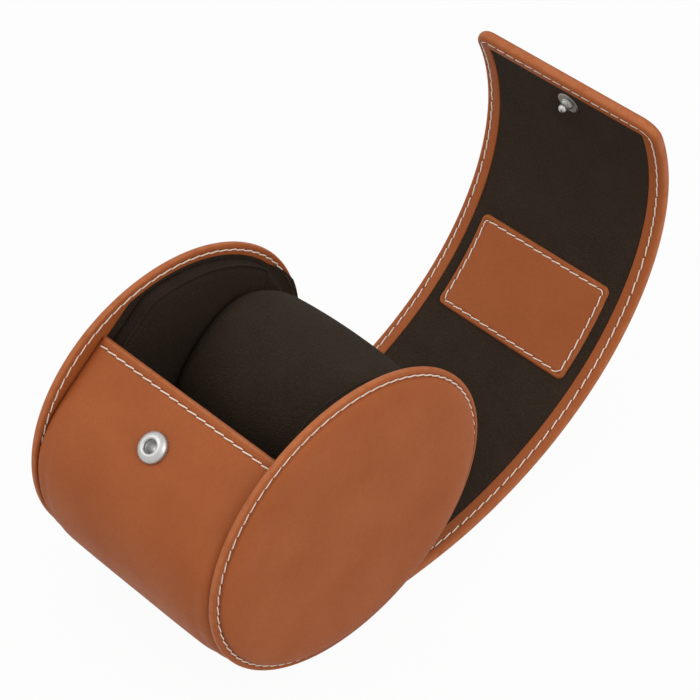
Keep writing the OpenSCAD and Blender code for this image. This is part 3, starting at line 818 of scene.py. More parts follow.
@dataclass
class Barrel:
    """The padded wall between the discs: leather over foam and board, folded in over the front
    edge, with one row of stitches below the edge, and the suede lining of the well."""

    finishes: Finishes
    wall: WallLine = field(default_factory=WallLine)
    case: Case = CASE
    shoulder_w: float = 5.6
    shoulder_d: float = 1.9
    puff: float = 0.45
    knee: float = 0.4
    knee_at: float = 21.0
    tuck: float = 0.45
    tuck_in: float = 4.6
    stitch_at: float = 3.0
    channel: float = 0.34
    channel_w: float = 0.42
    edge_s: float = 1.0
    fold: float = 0.55
    turned: float = 7.0
    turned_t: float = 0.2
    lining: float = 0.8
    socket_at: float = 15.6
    cap_r: float = 4.3
    cap_dent: float = 0.12
    hole_r: float = 3.9
    hole_d: float = 3.3
    end_y: float = 8.5
    row_end: float = 1.2

    def last_s(self) -> float:
        """Distance along the wall at which it ends under the root of the flap."""
        return self.wall.run[-1] - (self.case.root_y - self.end_y)

    def stations_x(self) -> Array:
        """Stations across the wall, crowded in the rounded shoulders by the cosine of a turn."""
        turn = np.linspace(0, np.pi / 2, 12)
        left = -self.case.face_x + self.shoulder_w * (1 - np.cos(turn))
        middle = np.linspace(left[-1], -left[-1], 90)[1:-1]
        return np.concatenate([left, middle, -left[::-1]])

    def sink(self, s: Array, x: Array) -> Array:
        """Depth of the outer face below the wall's line: a quarter of an oval at each shoulder,
        deeper past the front edge, less the foam's swell, plus a tuck beside each shoulder below
        the knee, the sewn channel, and the dent and hole under the snap's cap."""
        c = self.case
        to_disc = c.face_x - np.abs(x)
        deeper = self.shoulder_d * (1 + 0.35 * smooth((s - 10) / 16))
        shoulder = deeper * round_off(to_disc, self.shoulder_w)
        swell = self.puff * smooth((s - 2.0) / 14.0) + self.knee * ridge(s, self.knee_at, 5.5)
        swell = swell * (1 - (x / c.face_x) ** 4)
        tuck = self.tuck * ridge(to_disc, self.tuck_in, 1.7) * smooth((s - 16) / 12)
        seam = self.channel * ridge(s, self.stitch_at, self.channel_w)
        seam = seam - 0.12 * ridge(s, self.stitch_at - 1.5, 0.8)
        seam = seam * smooth((to_disc - 0.6) / 1.2)
        r = np.hypot(s - self.socket_at, x)
        dent = self.cap_dent * np.where(r < self.cap_r, 1.0, ridge(r, self.cap_r, 0.7))
        hole = self.hole_d * smooth((self.hole_r - r) / 0.5)
        return shoulder + tuck - swell * (1 - ridge(r, 0, 8.0)) + seam + dent + hole

    def leather_shell(self) -> Shell:
        """Loops along the wall's side line, out on the outer face, over the front edge by half an
        oval, and back on the inner face; one loop for each station across."""
        c = self.case
        panel, knee = graded(self.edge_s, 8, 44, 1.15), np.linspace(8, 26, 50)
        s = np.concatenate([panel, knee[1:], np.linspace(26, self.last_s(), 120)[1:]])
        x = self.stations_x()
        outer = self.wall.at(s, self.sink(s, x[:, None]))
        fold_d = c.wall_t + self.turned_t
        inner = self.wall.at(s, np.where(s < self.turned, fold_d, c.wall_t - self.lining))
        turn = np.linspace(0, np.pi, 18)[1:-1]
        edge_d = self.sink(np.array([[self.edge_s]]), x[:, None])
        ahead = self.edge_s - self.fold * np.sin(turn) ** 0.8
        edge = self.wall.at(ahead, edge_d + (fold_d - edge_d) * (1 - np.cos(turn)) / 2)
        inner = np.broadcast_to(inner, outer.shape)
        loop = np.concatenate([outer[:, ::-1], edge, inner], axis=1)
        far = np.concatenate([s[::-1], ahead, s])
        # Edge mask for wear and a painted highlight; channel mask for painted shade.
        worn_and_lit = smooth((self.edge_s + 1.0 - far) / 1.1)
        sewn = ridge(far, self.stitch_at, 0.45)
        sewn[len(s) :] = 0.0
        marks = np.broadcast_to(np.stack([worn_and_lit, sewn], -1), loop.shape)
        return Shell.band(c.place(x[:, None], loop[..., 0], loop[..., 1]), marks)

    def lining_shell(self) -> Shell:
        """The lining as a closed band from the turned leather edge to the root of the flap."""
        c = self.case
        s = np.linspace(self.turned, self.last_s(), 140)
        x = np.linspace(-c.face_x, c.face_x, 40)
        # The glued side lies just inside the leather, so that the two faces don't coincide.
        top, low = self.wall.at(s, c.wall_t), self.wall.at(s, c.wall_t - self.lining + 0.02)
        loop = np.concatenate([low, top[::-1]])
        return Shell.band(c.place(x[:, None], loop[:, 0], loop[:, 1]))

    def stitch_shell(self) -> Shell:
        """The row of stitches in the channel below the front edge."""
        c = self.case
        x = np.linspace(-c.face_x + self.row_end, c.face_x - self.row_end, 200)
        p = self.wall.at(self.stitch_at, self.sink(np.full_like(x, self.stitch_at), x))
        normal = np.tile([0.0, *c.front_out()], (len(x), 1))
        return Stitching().row(c.place(x, p[:, 0], p[:, 1]), normal)

    def build(self) -> None:
        """Makes the wall's pieces, attaches them to the case and hides the CAD parts that they
        replace.
        """
        leather = make_piece("barrel_wall", self.leather_shell(), self.finishes.leather)
        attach(leather, "case")
        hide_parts("barrel_leather", "barrel_padding", "barrel_board", "front_edge_turn")
        lining = make_piece("well_lining", self.lining_shell(), self.finishes.suede)
        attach(lining, "case")
        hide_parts("barrel_lining")
        stitches = make_piece("front_edge_stitches", self.stitch_shell(), self.finishes.thread)
        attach(stitches, "case")


# ---- end discs ---------------------------------------------------------------------------------


@dataclass
class EndDisc:
    """One oval end disc: leather over foam and board, with a soft rim, a sewn channel near it, and
    an inner face lined with suede inside the turned leather edge."""

    finishes: Finishes
    side: Side
    case: Case = CASE
    rim_t: float = 2.2
    rim_w: float = 1.15
    pad_from: float = 2.05
    pad_w: float = 8.0
    puff: float = 2.1
    crown: float = 0.2
    stitch_at: float = 1.75
    channel: float = 0.42
    turn_from: float = 2.35
    turn_w: float = 3.2
    wall_depth: float = 2.8
    lining_from: float = -66.0
    lining_to: float = 36.0
    lining_run: float = 20.0
    lining_foot: float = 6.0
    lining_t: float = 0.36
    lining_rise: float = 0.13
    panel_t: float = 55.0
    panel_gap: float = 2.3
    panel_rise: float = 1.9
    panel_inset: float = 4.4
    around: int = 360

    # Degrees from the lining's top and foot at which the leather's row of stitches starts and
    # ends, and from its foot and top at which its own row does; heights of both rows.
    LEATHER_ROW = (-10.5, -2.0)
    LINING_ROW = (8.0, -13.5)
    LEATHER_ROW_RISE = 0.2
    LINING_ROW_RISE = 0.06

    # Rings of the cover, from the middle outwards: shares of the radius inside the padding's
    # shoulder, shares of the shoulder's width, and insets from there to the rim.
    MIDDLE_SHARES = (0.04, 0.15, 0.3, 0.45, 0.6, 0.75, 0.9)
    SHOULDER_SHARES = (
        1.0, 0.84, 0.69, 0.55, 0.43, 0.33, 0.25, 0.18, 0.13, 0.09, 0.06, 0.038, 0.022, 0.01, 0.003,
    )
    RIM_INSETS = (2.05, 1.95, 1.83, 1.75, 1.67, 1.55, 1.4, 1.2, 0.95, 0.7, 0.45, 0.25, 0.1, 0.02)
    # Inset and height of the rings from the rim over the turned edge and its sewn channel, then
    # share of the turned edge's rest and height of those that end it.
    TURN_RINGS = (
        (0.0, 0.95), (0.06, 0.6), (0.22, 0.3), (0.5, 0.1), (0.9, 0.0), (1.2, 0.0), (1.4, 0.05),
        (1.58, 0.18), (1.75, 0.26), (1.92, 0.18), (2.1, 0.05), (2.35, 0.0),
    )
    END_RINGS = ((0.35, 0.0), (0.7, 0.0), (0.9, 0.02), (0.97, 0.08), (1.0, 0.2), (1.0, 0.42))
    # Edge of the lining as inset and height: in front beyond the turned leather, and behind.
    LINING_FRONT = (
        (0.4, 0.13), (0.2, 0.14), (0.1, 0.17), (0.04, 0.24), (0.02, 0.32), (0.02, 0.4),
        (0.02, 0.46), (0.03, 0.5), (0.3, 0.52),
    )
    LINING_BACK = (
        (0.9, 0.02), (0.5, 0.03), (0.22, 0.12), (0.04, 0.34), (-0.05, 0.7), (-0.06, 1.05),
        (-0.04, 1.35), (0.1, 1.55), (0.6, 1.6),
    )
    # Inset noted for rings that neither the edge's wear and painted highlight nor the seam's
    # painted shade reaches.
    UNMARKED = 9.0

    def ring(self, inset: Array, share: Array, height: Array) -> Array:
        """One ring: the oval inset by inset, shrunk to share, at height above the inner face."""
        c = self.case
        t = full_turn(self.around)
        y = share * (c.disc_a - inset) * np.cos(t)
        z = share * (c.disc_b - inset) * np.sin(t)
        return c.place(self.side.value * (c.face_x + height) + 0 * t, y, z)

    def behind(self) -> Array:
        """Share, at each angle, by which the lining has run out to the rim: 0 in front, 1 on the
        back arc, rising evenly over lining_run at its top and softly over lining_foot below."""
        deg = (np.degrees(full_turn(self.around)) + 180) % 360 - 180
        upper = np.clip((self.lining_to - deg) / self.lining_run, 0, 1)
        return upper * smooth((deg - self.lining_from) / self.lining_foot)

    def wall_cut(self) -> Array:
        """Share to which the ring at the turned edge's end is pulled in, so that it ends on the
        line just inside the front panel."""
        c = self.case
        a, b = c.disc_a - self.turn_w, c.disc_b - self.turn_w
        t, out = full_turn(self.around), c.front_out()
        reach = np.stack([a * np.cos(t), b * np.sin(t)], -1) @ out
        line = np.array(c.front_edge) @ out - self.wall_depth
        return np.where(reach > line, line / np.maximum(reach, 1.0), 1.0)

    def face_height(self, inset: Array) -> Array:
        """Height of the outer face at an inset: a rounded rim, the sewn channel, then the padding,
        which rises beside the channel by a quarter oval."""
        rim = self.rim_t - round_off(inset, self.rim_w)
        channel = self.channel * ridge(inset, self.stitch_at, 0.4)
        return rim - channel + self.puff * (1 - round_off(inset - self.pad_from, self.pad_w))

    def cover_shell(self) -> Shell:
        """Rings from the middle of the outer face over the rim to the middle of the inner face.
        Where the lining lies on it, the leather sinks by the lining's thickness."""
        c, out = self.case, self.side.value
        behind = self.behind()
        edge = self.turn_w * (1 - behind)
        rings, insets = [], []
        for u in self.MIDDLE_SHARES:
            height = self.rim_t + self.puff + self.crown * (1 - u**2)
            rings.append(self.ring(self.pad_from + self.pad_w, u, height))
            insets.append(self.UNMARKED)
        shoulder = [self.pad_from + share * self.pad_w for share in self.SHOULDER_SHARES]
        for inset in (*shoulder, *self.RIM_INSETS):
            rings.append(self.ring(inset, 1.0, self.face_height(inset)))
            insets.append(inset)
        for inset, height in self.TURN_RINGS:
            sunk = self.lining_t * smooth((inset - edge) / 0.3 + 1.0)
            rings.append(self.ring(inset + 0.25 * behind, 1.0, np.maximum(height, sunk)))
            insets.append(inset)
        cut = self.wall_cut()
        for w, height in self.END_RINGS:
            inset = self.turn_from + w * (self.turn_w - self.turn_from)
            sunk = self.lining_t * smooth((inset - 0.1 - edge) / 0.3 + 0.5) * (behind > 0)
            rings.append(self.ring(inset, 1 - w * (1 - cut), np.maximum(height, sunk)))
        rings.append(self.ring(self.turn_w + 0.5, cut, 0.6))
        top = c.place(out * (c.face_x + self.rim_t + self.puff + self.crown), 0.0, 0.0)
        back = c.place(out * (c.face_x + 0.6), 0.0, 0.0)
        far = np.array(insets + [self.UNMARKED] * (len(rings) - len(insets)))
        marks = marks_at(far, 0.75, self.stitch_at, 0.45)
        return Shell.loft(np.stack(rings), top, back, np.repeat(marks[:, None], self.around, 1))

    def lining_shell(self) -> Shell:
        """Suede of the inner face. In front it ends flush inside the turned leather; behind it
        rises over the leather and folds round the rim. Each ring mixes the two profiles by the
        share behind."""
        c, out = self.case, self.side.value
        w = self.behind()
        k = self.wall_cut()
        k = k + (1 - k) * w
        rings = []
        for u in np.concatenate([[0.05, 0.2, 0.4], np.linspace(0.5, 0.985, 34)]):
            inset = (1 - w) * (self.turn_w + 0.4) + w * 0.9
            ring = self.ring(inset, u * k, self.lining_rise - 0.11 * w * u**4)
            ring[:, 0] -= out * self.panel_rise * self.panel(ring[:, 1], ring[:, 2] - c.axis_z)
            rings.append(ring)
        for (d0, h0), (d1, h1) in zip(self.LINING_FRONT, self.LINING_BACK):
            inset = (1 - w) * (self.turn_w + d0) + w * d1
            rings.append(self.ring(inset, k, (1 - w) * h0 + w * h1))
        top = c.place(out * (c.face_x + self.lining_rise), 0.0, 0.0)
        foot = c.place(out * (c.face_x + 0.55), 0.0, 0.0)
        return Shell.loft(np.stack(rings), top, foot)

    def panel(self, y: Array, z: Array) -> Array:
        """Mask of the raised back panel: beyond a gap behind the side pad, and inside the strip
        near the rim that the closed flap passes."""
        c = self.case
        lean = math.radians(self.panel_t)
        back, up = y - c.pillow_axis[0], z - c.pillow_axis[1]
        beyond = back * math.sin(lean) - up * math.cos(lean)
        inset = (1 - np.hypot(y / c.disc_a, z / c.disc_b)) * c.disc_b
        clear = smooth((inset - self.panel_inset) / 1.2)
        return smooth((beyond - self.panel_gap) / 0.6) * clear

    def stitch_row(self, where: SeamPlace) -> Shell:
        """One row of stitches: closed round the outer face, round the front of the inner face, or
        in the lining's own thread on its back arc."""
        c, out = self.case, self.side.value
        if where is SeamPlace.OUTER:
            t, height, face = full_turn(600), self.face_height(self.stitch_at), out
        elif where is SeamPlace.INNER:
            top, foot = self.LEATHER_ROW
            deg = np.linspace(self.lining_to + top, 360 + self.lining_from + foot, 500)
            t, height, face = np.radians(deg), self.LEATHER_ROW_RISE, -out
        else:
            foot, top = self.LINING_ROW
            deg = np.linspace(self.lining_from + foot, self.lining_to + top, 300)
            t, height, face = np.radians(deg), self.LINING_ROW_RISE, -out
        y = (c.disc_a - self.stitch_at) * np.cos(t)
        z = (c.disc_b - self.stitch_at) * np.sin(t)
        normal = np.tile([float(face), 0.0, 0.0], (len(t), 1))
        line = c.place(out * (c.face_x + height), y, z)
        return Stitching().row(line, normal, closed=where is SeamPlace.OUTER)

    def build(self) -> None:
        """Makes the disc's pieces, attaches them to the case and hides the CAD parts that they
        replace.
        """
        label = self.side.name.lower()
        cover = make_piece(f"{label}_disc_leather", self.cover_shell(), self.finishes.leather)
        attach(cover, "case")
        hidden = ("cover", "rim_strip", "padding", "board")
        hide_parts(*(f"{label}_disc_{part}" for part in hidden))
        lining = make_piece(f"{label}_disc_suede", self.lining_shell(), self.finishes.suede)
        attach(lining, "case")
        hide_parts(f"{label}_disc_lining")
        rows = [self.stitch_row(where) for where in (SeamPlace.OUTER, SeamPlace.INNER)]
        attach(make_piece(f"{label}_disc_stitches", joined(rows), self.finishes.thread), "case")
        back = self.stitch_row(SeamPlace.LINING)
        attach(make_piece(f"{label}_lining_stitches", back, self.finishes.dark_thread), "case")


# ---- side pads ---------------------------------------------------------------------------------


@dataclass
class SidePad:
    """Crowned suede pad on a disc's inner face, with a piped seam round its edge."""

    finishes: Finishes
    side: Side
    case: Case = CASE
    ratio: float = 0.909
    middle: tuple[float, float] = (-2.0, -2.0)
    height: float = 6.7
    edge: float = 4.1
    bead: float = 0.36
    bead_drop: float = 0.25
    valley: float = 0.4
    back_t: float = 55.0
    gap: float = 0.4
    around: int = 320
    soft_steps: int = 6
    soft_w: float = 1.5

    # Rings from the middle: shares of the reach, then distances from the outline over the valley
    # beside the piping, and inset and rise of the wall below the piping.
    CROWN_SHARES = (0.06, 0.15, 0.27, 0.39, 0.5, 0.6, 0.69, 0.77, 0.83, 0.88)
    VALLEY_INSETS = (3.6, 3.1, 2.7, 2.4, 2.15, 1.95, 1.75, 1.55, 1.35)
    WALL_RINGS = ((0.42, 2.7), (0.3, 2.2), (0.2, 1.2), (0.3, 0.3), (0.4, 0.0))

    def reach(self) -> tuple[Array, Array]:
        """Angles, and the distance from the pad's middle to its outline at each: the least of the
        distances to the oval, to the front panel and to the line behind, softened."""
        c = self.case
        t = full_turn(self.around)
        way = np.stack([np.cos(t), np.sin(t)], -1)
        m = np.array(self.middle)
        # The oval's distance is the positive root of a quadratic in it, k d^2 + 2 h d + rest.
        ab = np.array([c.disc_a, c.disc_b]) * self.ratio
        k = ((way / ab) ** 2).sum(-1)
        h = (way * m / ab**2).sum(-1)
        rest = ((m / ab) ** 2).sum() - 1
        oval = (-h + np.sqrt(h * h - k * rest)) / k

        def to_line(p: Array, n: Array) -> Array:
            """Distance from the middle to the line through p with normal n, far where it faces
            away."""
            facing = way @ n
            return np.where(facing > 0.02, ((p - m) @ n) / np.maximum(facing, 0.02), 999.0)

        out = c.front_out()
        front = to_line(np.array(c.front_edge) - (c.wall_t + self.gap) * out, out)
        back_t = math.radians(self.back_t)
        behind = to_line(np.array(c.pillow_axis), np.array([math.sin(back_t), -math.cos(back_t)]))
        least = np.minimum(np.minimum(oval, front), behind)
        n = self.soft_steps
        wrapped = np.concatenate([least[-n:], least, least[:n]])
        return t, np.convolve(wrapped, bell_weights(n, self.soft_w), "valid")

    def crown(self, u: Array) -> Array:
        """Rise of the pad at share u of the reach: edge + (height - edge)(1 - u^5)."""
        return self.edge + (self.height - self.edge) * (1 - u**5)

    def shell(self) -> Shell:
        """Rings from the crown to the foot, with a valley just inside the piping and the piping's
        half round at the outline."""
        c = self.case
        t, reach = self.reach()
        m = self.middle

        def ring(radius: Array, rise: Array) -> Array:
            """Ring of points at a radius from the middle and a rise above the disc's face."""
            y = m[0] + radius * np.cos(t)
            z = m[1] + radius * np.sin(t)
            return c.place(self.side.value * (c.face_x - rise) + 0 * t, y, z)

        rings = [ring(u * reach, self.crown(u)) for u in self.CROWN_SHARES]
        for q in self.VALLEY_INSETS:
            crown = self.crown(np.clip(1 - q / reach, 0, 1))
            rings.append(ring(reach - q, crown - self.valley * ridge(q, 1.0, 0.35)))
        for turn in np.radians(np.arange(150, -61, -15)):
            inset = self.bead * (1 - math.cos(turn))
            rise = self.edge - self.bead_drop + self.bead * math.sin(turn)
            rings.append(ring(reach - inset, rise))
        rings += [ring(reach - inset, rise) for inset, rise in self.WALL_RINGS]
        top = c.place(self.side.value * (c.face_x - self.height), *m)
        foot = c.place(self.side.value * c.face_x, *m)
        return Shell.loft(np.stack(rings), top, foot)

    def build(self) -> None:
        """Makes the pad, attaches it to the case and hides the CAD parts that it replaces."""
        label = self.side.name.lower()
        pad = make_piece(f"{label}_side_pad", self.shell(), self.finishes.pad_suede)
        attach(pad, "case")
        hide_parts(f"{label}_side_pad_cover", f"{label}_side_pad_foam")


# ---- pillow ------------------------------------------------------------------------------------


@dataclass
class Pillow:
    """Suede-covered foam roll that carries the watch, with softly rounded ends."""

    finishes: Finishes
    case: Case = CASE
    half: float = 26.15
    radius: float = 25.4
    fall: float = 0.0028
    lean: float = 4.0
    round_x: float = 5.5
    round_r: float = 3.4
    around: int = 260

    # Shares of the radius of the rings on an end face.
    END_SHARES = (0.96, 0.88, 0.75, 0.5, 0.25, 0.05)

    def swell(self, t: Array) -> Array:
        """How much fuller the ends are at each angle: fuller above the side pads, less where they
        press."""
        deg = (np.degrees(t) + 180) % 360 - 180
        return 1.3 * ridge(deg, 87.0, 22.0) - 0.8 * ridge(deg, 136.0, 24.0)

    def girth(self, x: Array) -> Array:
        """Radius of the roll at x before its ends round over: it falls by fall times the square of
        the distance from the fullest place."""
        return self.radius - self.fall * (x + self.lean) ** 2

    def end(self, sign: int) -> tuple[Array, Array]:
        """Places along X and radii of one end's rings, outwards: a quarter of an oval, then the
        end face."""
        turn = np.linspace(0, np.pi / 2, 18)[1:]
        shoulder = self.half - self.round_x
        end_r = self.girth(sign * shoulder) - self.round_r
        face = end_r * np.array(self.END_SHARES)
        r = np.concatenate([end_r + self.round_r * np.cos(turn), face])
        x = np.concatenate([shoulder + self.round_x * np.sin(turn), np.full(len(face), self.half)])
        return sign * x, r

    def shell(self) -> Shell:
        """Rings along X from end to end. The swell is added towards the ends, and two slow waves of
        a tenth of a millimetre cross the roll."""
        c = self.case
        t = full_turn(self.around)
        shoulder = self.half - self.round_x
        body = np.linspace(-shoulder, shoulder, 90)
        left_x, left_r = self.end(-1)
        right_x, right_r = self.end(1)
        x = np.concatenate([left_x[::-1], body, right_x])
        r = np.concatenate([left_r[::-1], self.girth(body), right_r])
        share = smooth((np.abs(x) - 6) / 18) * smooth(r / 20)
        fade = smooth((self.half - np.abs(x)) / 4.0)[:, None]
        x, r = x[:, None], r[:, None]
        sway = 0.1 * np.sin(3 * t) * np.sin(x / 9.0) + 0.08 * np.sin(7 * t + 1.0) * np.cos(x / 6.0)
        r = r + sway * fade + share[:, None] * self.swell(t)
        y, z = c.pillow_axis
        rings = c.place(x, y + r * np.cos(t), z + r * np.sin(t))
        return Shell.loft(rings, c.place(-self.half, y, z), c.place(self.half, y, z))

    def build(self) -> None:
        """Makes the pillow, attaches it to the pillow body and hides the CAD parts that it
        replaces.
        """
        pillow = make_piece("watch_pillow_cover", self.shell(), self.finishes.suede)
        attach(pillow, "pillow")
        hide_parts("pillow_cover", "pillow_core")


# ---- flap --------------------------------------------------------------------------------------


@dataclass
class FlapLine:
    """Side line of the open flap: its direction turns evenly between the creases."""

    case: Case = CASE
    length: float = 183.0
    sweep: float = 120.0
    steps: int = 9150
    crease: tuple[float, ...] = (
        0.0, 14.018, 28.036, 41.968, 62.006, 86.0, 121.0, 144.0, 163.0, 183.0,
    )
    share: tuple[float, ...] = (0.0, 0.0, 0.0375, 0.1, 0.1875, 0.308, 0.525, 0.692, 0.842, 1.0)

    def turn(self, s: Array) -> Array:
        """Direction of the flap at station s, in radians from straight back."""
        return np.radians(self.sweep * np.interp(s, self.crease, self.share))

    def at(self, s: Array, depth: Array) -> Array:
        """Side points at station s, depth inside the outer face. The line is the running sum of
        cos and sin of the turn over short steps.

        Args:
            s: Stations; below 0 the line is the flat underside.
            depth: Depths, square to the line.

        Returns:
            Side coordinates along a last axis of 2.
        """
        s, depth = np.broadcast_arrays(s, depth)
        fine = np.linspace(0, self.length, self.steps + 1)
        turn = self.turn((fine[1:] + fine[:-1]) / 2)
        steps = np.stack([np.cos(turn), np.sin(turn)], -1) * np.diff(fine)[:, None]
        line = np.vstack([[0.0, 0.0], np.cumsum(steps, axis=0)])
        line = line + np.array([self.case.root_y, -self.case.disc_b])
        over = np.stack([np.minimum(s, 0.0), np.zeros(s.shape)], -1)
        return along(line, fine, s) + over + depth[..., None] * self.inward(s)

    def inward(self, s: Array) -> Array:
        """Normal of the lined face at station s, in the side view."""
        turn = self.turn(s)
        return np.stack([-np.sin(turn), np.cos(turn)], -1)


@dataclass
class Flap:
    """The wrap-over flap. It is cut into strips, each of which spans one crease or keeps to one
    rigid segment."""

    finishes: Finishes
    line: FlapLine = field(default_factory=FlapLine)
    case: Case = CASE
    half_w: float = 32.6
    thick: float = 3.4
    tip_r: float = 6.2
    inner_r: float = 5.9
    sewn_r: float = 3.2
    border: float = 5.2
    border_step: float = 0.9
    lining_low: float = 0.3
    lining_t: float = 0.65
    lining_tuck: float = 0.1
    stitch_at: float = 2.25
    channel: float = 0.3
    channel_w: float = 0.36
    edge_r: float = 1.55
    stud_s: float = 172.0
    first_stitch: float = 0.5
    pitch: float = 0.9
    blend_in: float = 0.6
    washer_clear: float = 4.2
    cuts: tuple[float, ...] = (
        -3.5, 7.0, 21.0, 35.0, 52.0, 74.0, 88.5, 120.2, 132.5, 153.5, 183.0,
    )
    rigid_strip: int = 6

    # Insets at which the edge, the channel and the border's step get their points.
    INSETS = (
        0.0, 0.03, 0.1, 0.22, 0.4, 0.62, 0.88, 1.2, 1.5, 1.7, 1.87, 2.0, 2.12, 2.25, 2.38, 2.5,
        2.65, 2.85, 3.3, 3.9, 4.4, 4.75, 5.0, 5.08, 5.14, 5.2, 5.26, 5.32, 5.5, 6.0, 7.2,
    )

    def inset(self, s: Array, x: Array) -> Array:
        """Distance from the flap's outline in plan: to the long edges and to the tip, with the
        tip's corners rounded by tip_r at the outline and by inner_r at the border's inner side."""
        a, b = self.half_w - np.abs(x), self.line.length - s
        near = inset_in_corner(a, b, self.tip_r)
        w = smooth((near - 1.2) / 3.2)
        return np.maximum((1 - w) * near + w * inset_in_corner(a, b, self.inner_r), 0.0)

    def sewn(self, e: Array) -> Array:
        """Depth of the sewn channel at inset e."""
        return self.channel * ridge(e, self.stitch_at, self.channel_w)

    def outer_depth(self, e: Array) -> Array:
        """Depth of the outer face at inset e: half the thickness at the edge, rounded off by a
        quarter oval, with the sewn channel."""
        return self.thick / 2 * round_off(e, self.edge_r) + self.sewn(e)

    def inner_depth(self, e: Array) -> Array:
        """Depth of the lined leather at inset e: the border, then a step under the lining."""
        step = self.border_step * smooth((e - self.border + 0.12) / 0.24)
        step = step + 0.12 * smooth((e - self.border + 0.8) / 0.7)
        return self.thick - self.thick / 2 * round_off(e, self.edge_r) - self.sewn(e) - step

    def half_width(self, s: Array) -> Array:
        """Half width of the outline at station s, which falls along a quarter circle at the tip."""
        over = np.clip(s - (self.line.length - self.tip_r), 0, self.tip_r)
        return self.half_w - self.tip_r + np.sqrt(self.tip_r**2 - over**2)

    def even(self, s0: float, s1: float, least: int) -> Array:
        """Even stations from s0 to s1, about pitch apart and at least as many as least."""
        return np.linspace(s0, s1, max(least, round((s1 - s0) / self.pitch) + 1))

    def stations(self, s0: float, s1: float) -> Array:
        """Stations of a leather strip from s0 to s1, crowded at the tip."""
        if s1 < self.line.length:
            return self.even(s0, s1, 6)
        tip = self.line.length - np.array(self.INSETS)[::-1]
        return np.concatenate([self.even(s0, tip[0], 0)[:-1], tip])

    def across(self) -> Array:
        """Shares of the half width, from edge to edge."""
        x = self.half_w - np.array(self.INSETS)
        middle = np.linspace(x[-1], -x[-1], 26)[1:-1]
        return np.concatenate([-x, -middle, x[::-1]]) / self.half_w

    def loops(self, x: Array, out: Array, back: Array) -> Array:
        """Points of loops across the flap.

        Args:
            x: Places across, of shape (loop, point).
            out: Side coordinates of the face that the loops run out on.
            back: Side coordinates of the face that they return on.

        Returns:
            Points of shape (loop, 2 * point, 3).
        """
        xs, line = out_and_back(x, x), out_and_back(out, np.broadcast_to(back, out.shape))
        return self.case.place(xs, line[..., 0], line[..., 1])

    def leather_shell(self, s0: float, s1: float) -> tuple[Shell, Array]:
        """One strip of leather as loops across the flap, out on the outer face and back on the
        lined face, with the loops at its two cut ends."""
        s = self.stations(s0, s1)[:, None]
        x = self.across() * self.half_width(s)
        e = self.inset(s, x)
        outer_d = self.outer_depth(e)
        outer = self.line.at(s, outer_d)
        grid = self.loops(x, outer, self.line.at(s, np.maximum(self.inner_depth(e), outer_d)))
        marks = marks_at(out_and_back(e, e), 0.9, self.stitch_at, 0.42)
        return Shell.band(grid, marks), grid[[0, -1]]

    def lining_shell(self, s0: float, s1: float) -> tuple[Shell, Array]:
        """One strip of the lining, whose face lies just below the border and rounds off at it."""
        tuck = self.border - self.lining_tuck
        end = min(s1, self.line.length - tuck)
        s = self.even(s0, end, 8)
        if s1 >= self.line.length:
            tip = graded(end, end - 6, 16, 1.6)[::-1]
            s = np.concatenate([np.linspace(s0, end - 6, 24)[:-1], tip])
        s = s[:, None]
        r = self.inner_r - tuck
        over = np.clip(s - (self.line.length - tuck - r), 0, r)
        w = self.half_w - tuck - r + np.sqrt(np.maximum(r * r - over**2, 0))
        share = np.concatenate([graded(0, 0.06, 7, 1.5), np.linspace(0.06, 0.5, 20)[1:]])
        x = (np.concatenate([share, 1 - share[::-1][1:]]) * 2 - 1) * w
        fall = 0.22 * round_off(self.inset(s, x) - tuck, 0.35)
        face_d = self.thick - self.lining_low
        low = self.line.at(s, face_d - self.lining_t)
        top = self.line.at(s, face_d - fall)
        grid = self.loops(x, np.broadcast_to(low, top.shape), top)
        return Shell.band(grid), grid[[0, -1]]

    def stitch_path(self, face: FlapFace) -> tuple[Array, Array, Array]:
        """Line of stitches round the flap: up one edge, round the tip and down the other.

        Args:
            face: Which face the line lies on.

        Returns:
            Points of the line, its normals, and the station of each point.
        """
        at, r = self.stitch_at, self.sewn_r
        w, end = self.half_w - at, self.line.length - at
        turn = np.linspace(0, np.pi / 2, 16)[1:-1]
        up = np.linspace((w, self.first_stitch), (w, end - r), 500)
        right = arc(np.array([w - r, end - r]), r, turn)
        tip = np.linspace((w - r, end), (r - w, end), 160)
        left = arc(np.array([r - w, end - r]), r, turn + np.pi / 2)
        x, s = np.concatenate([up, right, tip, left, up[::-1] * (-1, 1)]).T
        lined = face is FlapFace.LINED
        depth = self.inner_depth(at) if lined else self.outer_depth(at)
        line, inward = self.line.at(s, depth), self.line.inward(s)
        normal = np.column_stack([np.zeros(len(s)), inward if lined else -inward])
        return self.case.place(x, line[:, 0], line[:, 1]), normal, s

    def bodies(self, strip: int) -> tuple[str, str]:
        """The two bodies that a strip joins; both are the same for the rigid strip."""
        if strip == self.rigid_strip:
            return "flap_6", "flap_6"
        first = strip if strip < self.rigid_strip else strip - 1
        return ("case" if first == 0 else f"flap_{first}"), f"flap_{first + 1}"

    def sewn_rows(self, line: Array, normal: Array, s: Array, s0: float, s1: float) -> list[Shell]:
        """Stitches of one path between stations s0 and s1: one row on each side, or one row round
        the tip."""
        right = line[:, 0] > 0
        halves = (np.full(len(s), True),) if s1 >= self.line.length else (right, ~right)
        low = max(s0, self.first_stitch)
        parts = [half & (s >= low) & (s <= s1) for half in halves]
        return [Stitching().row(line[keep], normal[keep]) for keep in parts if keep.sum() > 3]

    def fasten(self, obj: bpy.types.Object, strip: int) -> None:
        """Attaches a piece of the rigid strip to its segment; for any other strip, works out the
        points near the strip's ends and bakes the piece's place into its mesh.
        """
        a, b = self.bodies(strip)
        if a == b:
            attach(obj, a)
            return
        s0, s1 = self.cuts[strip], self.cuts[strip + 1]
        if strip == len(self.cuts) - 2:
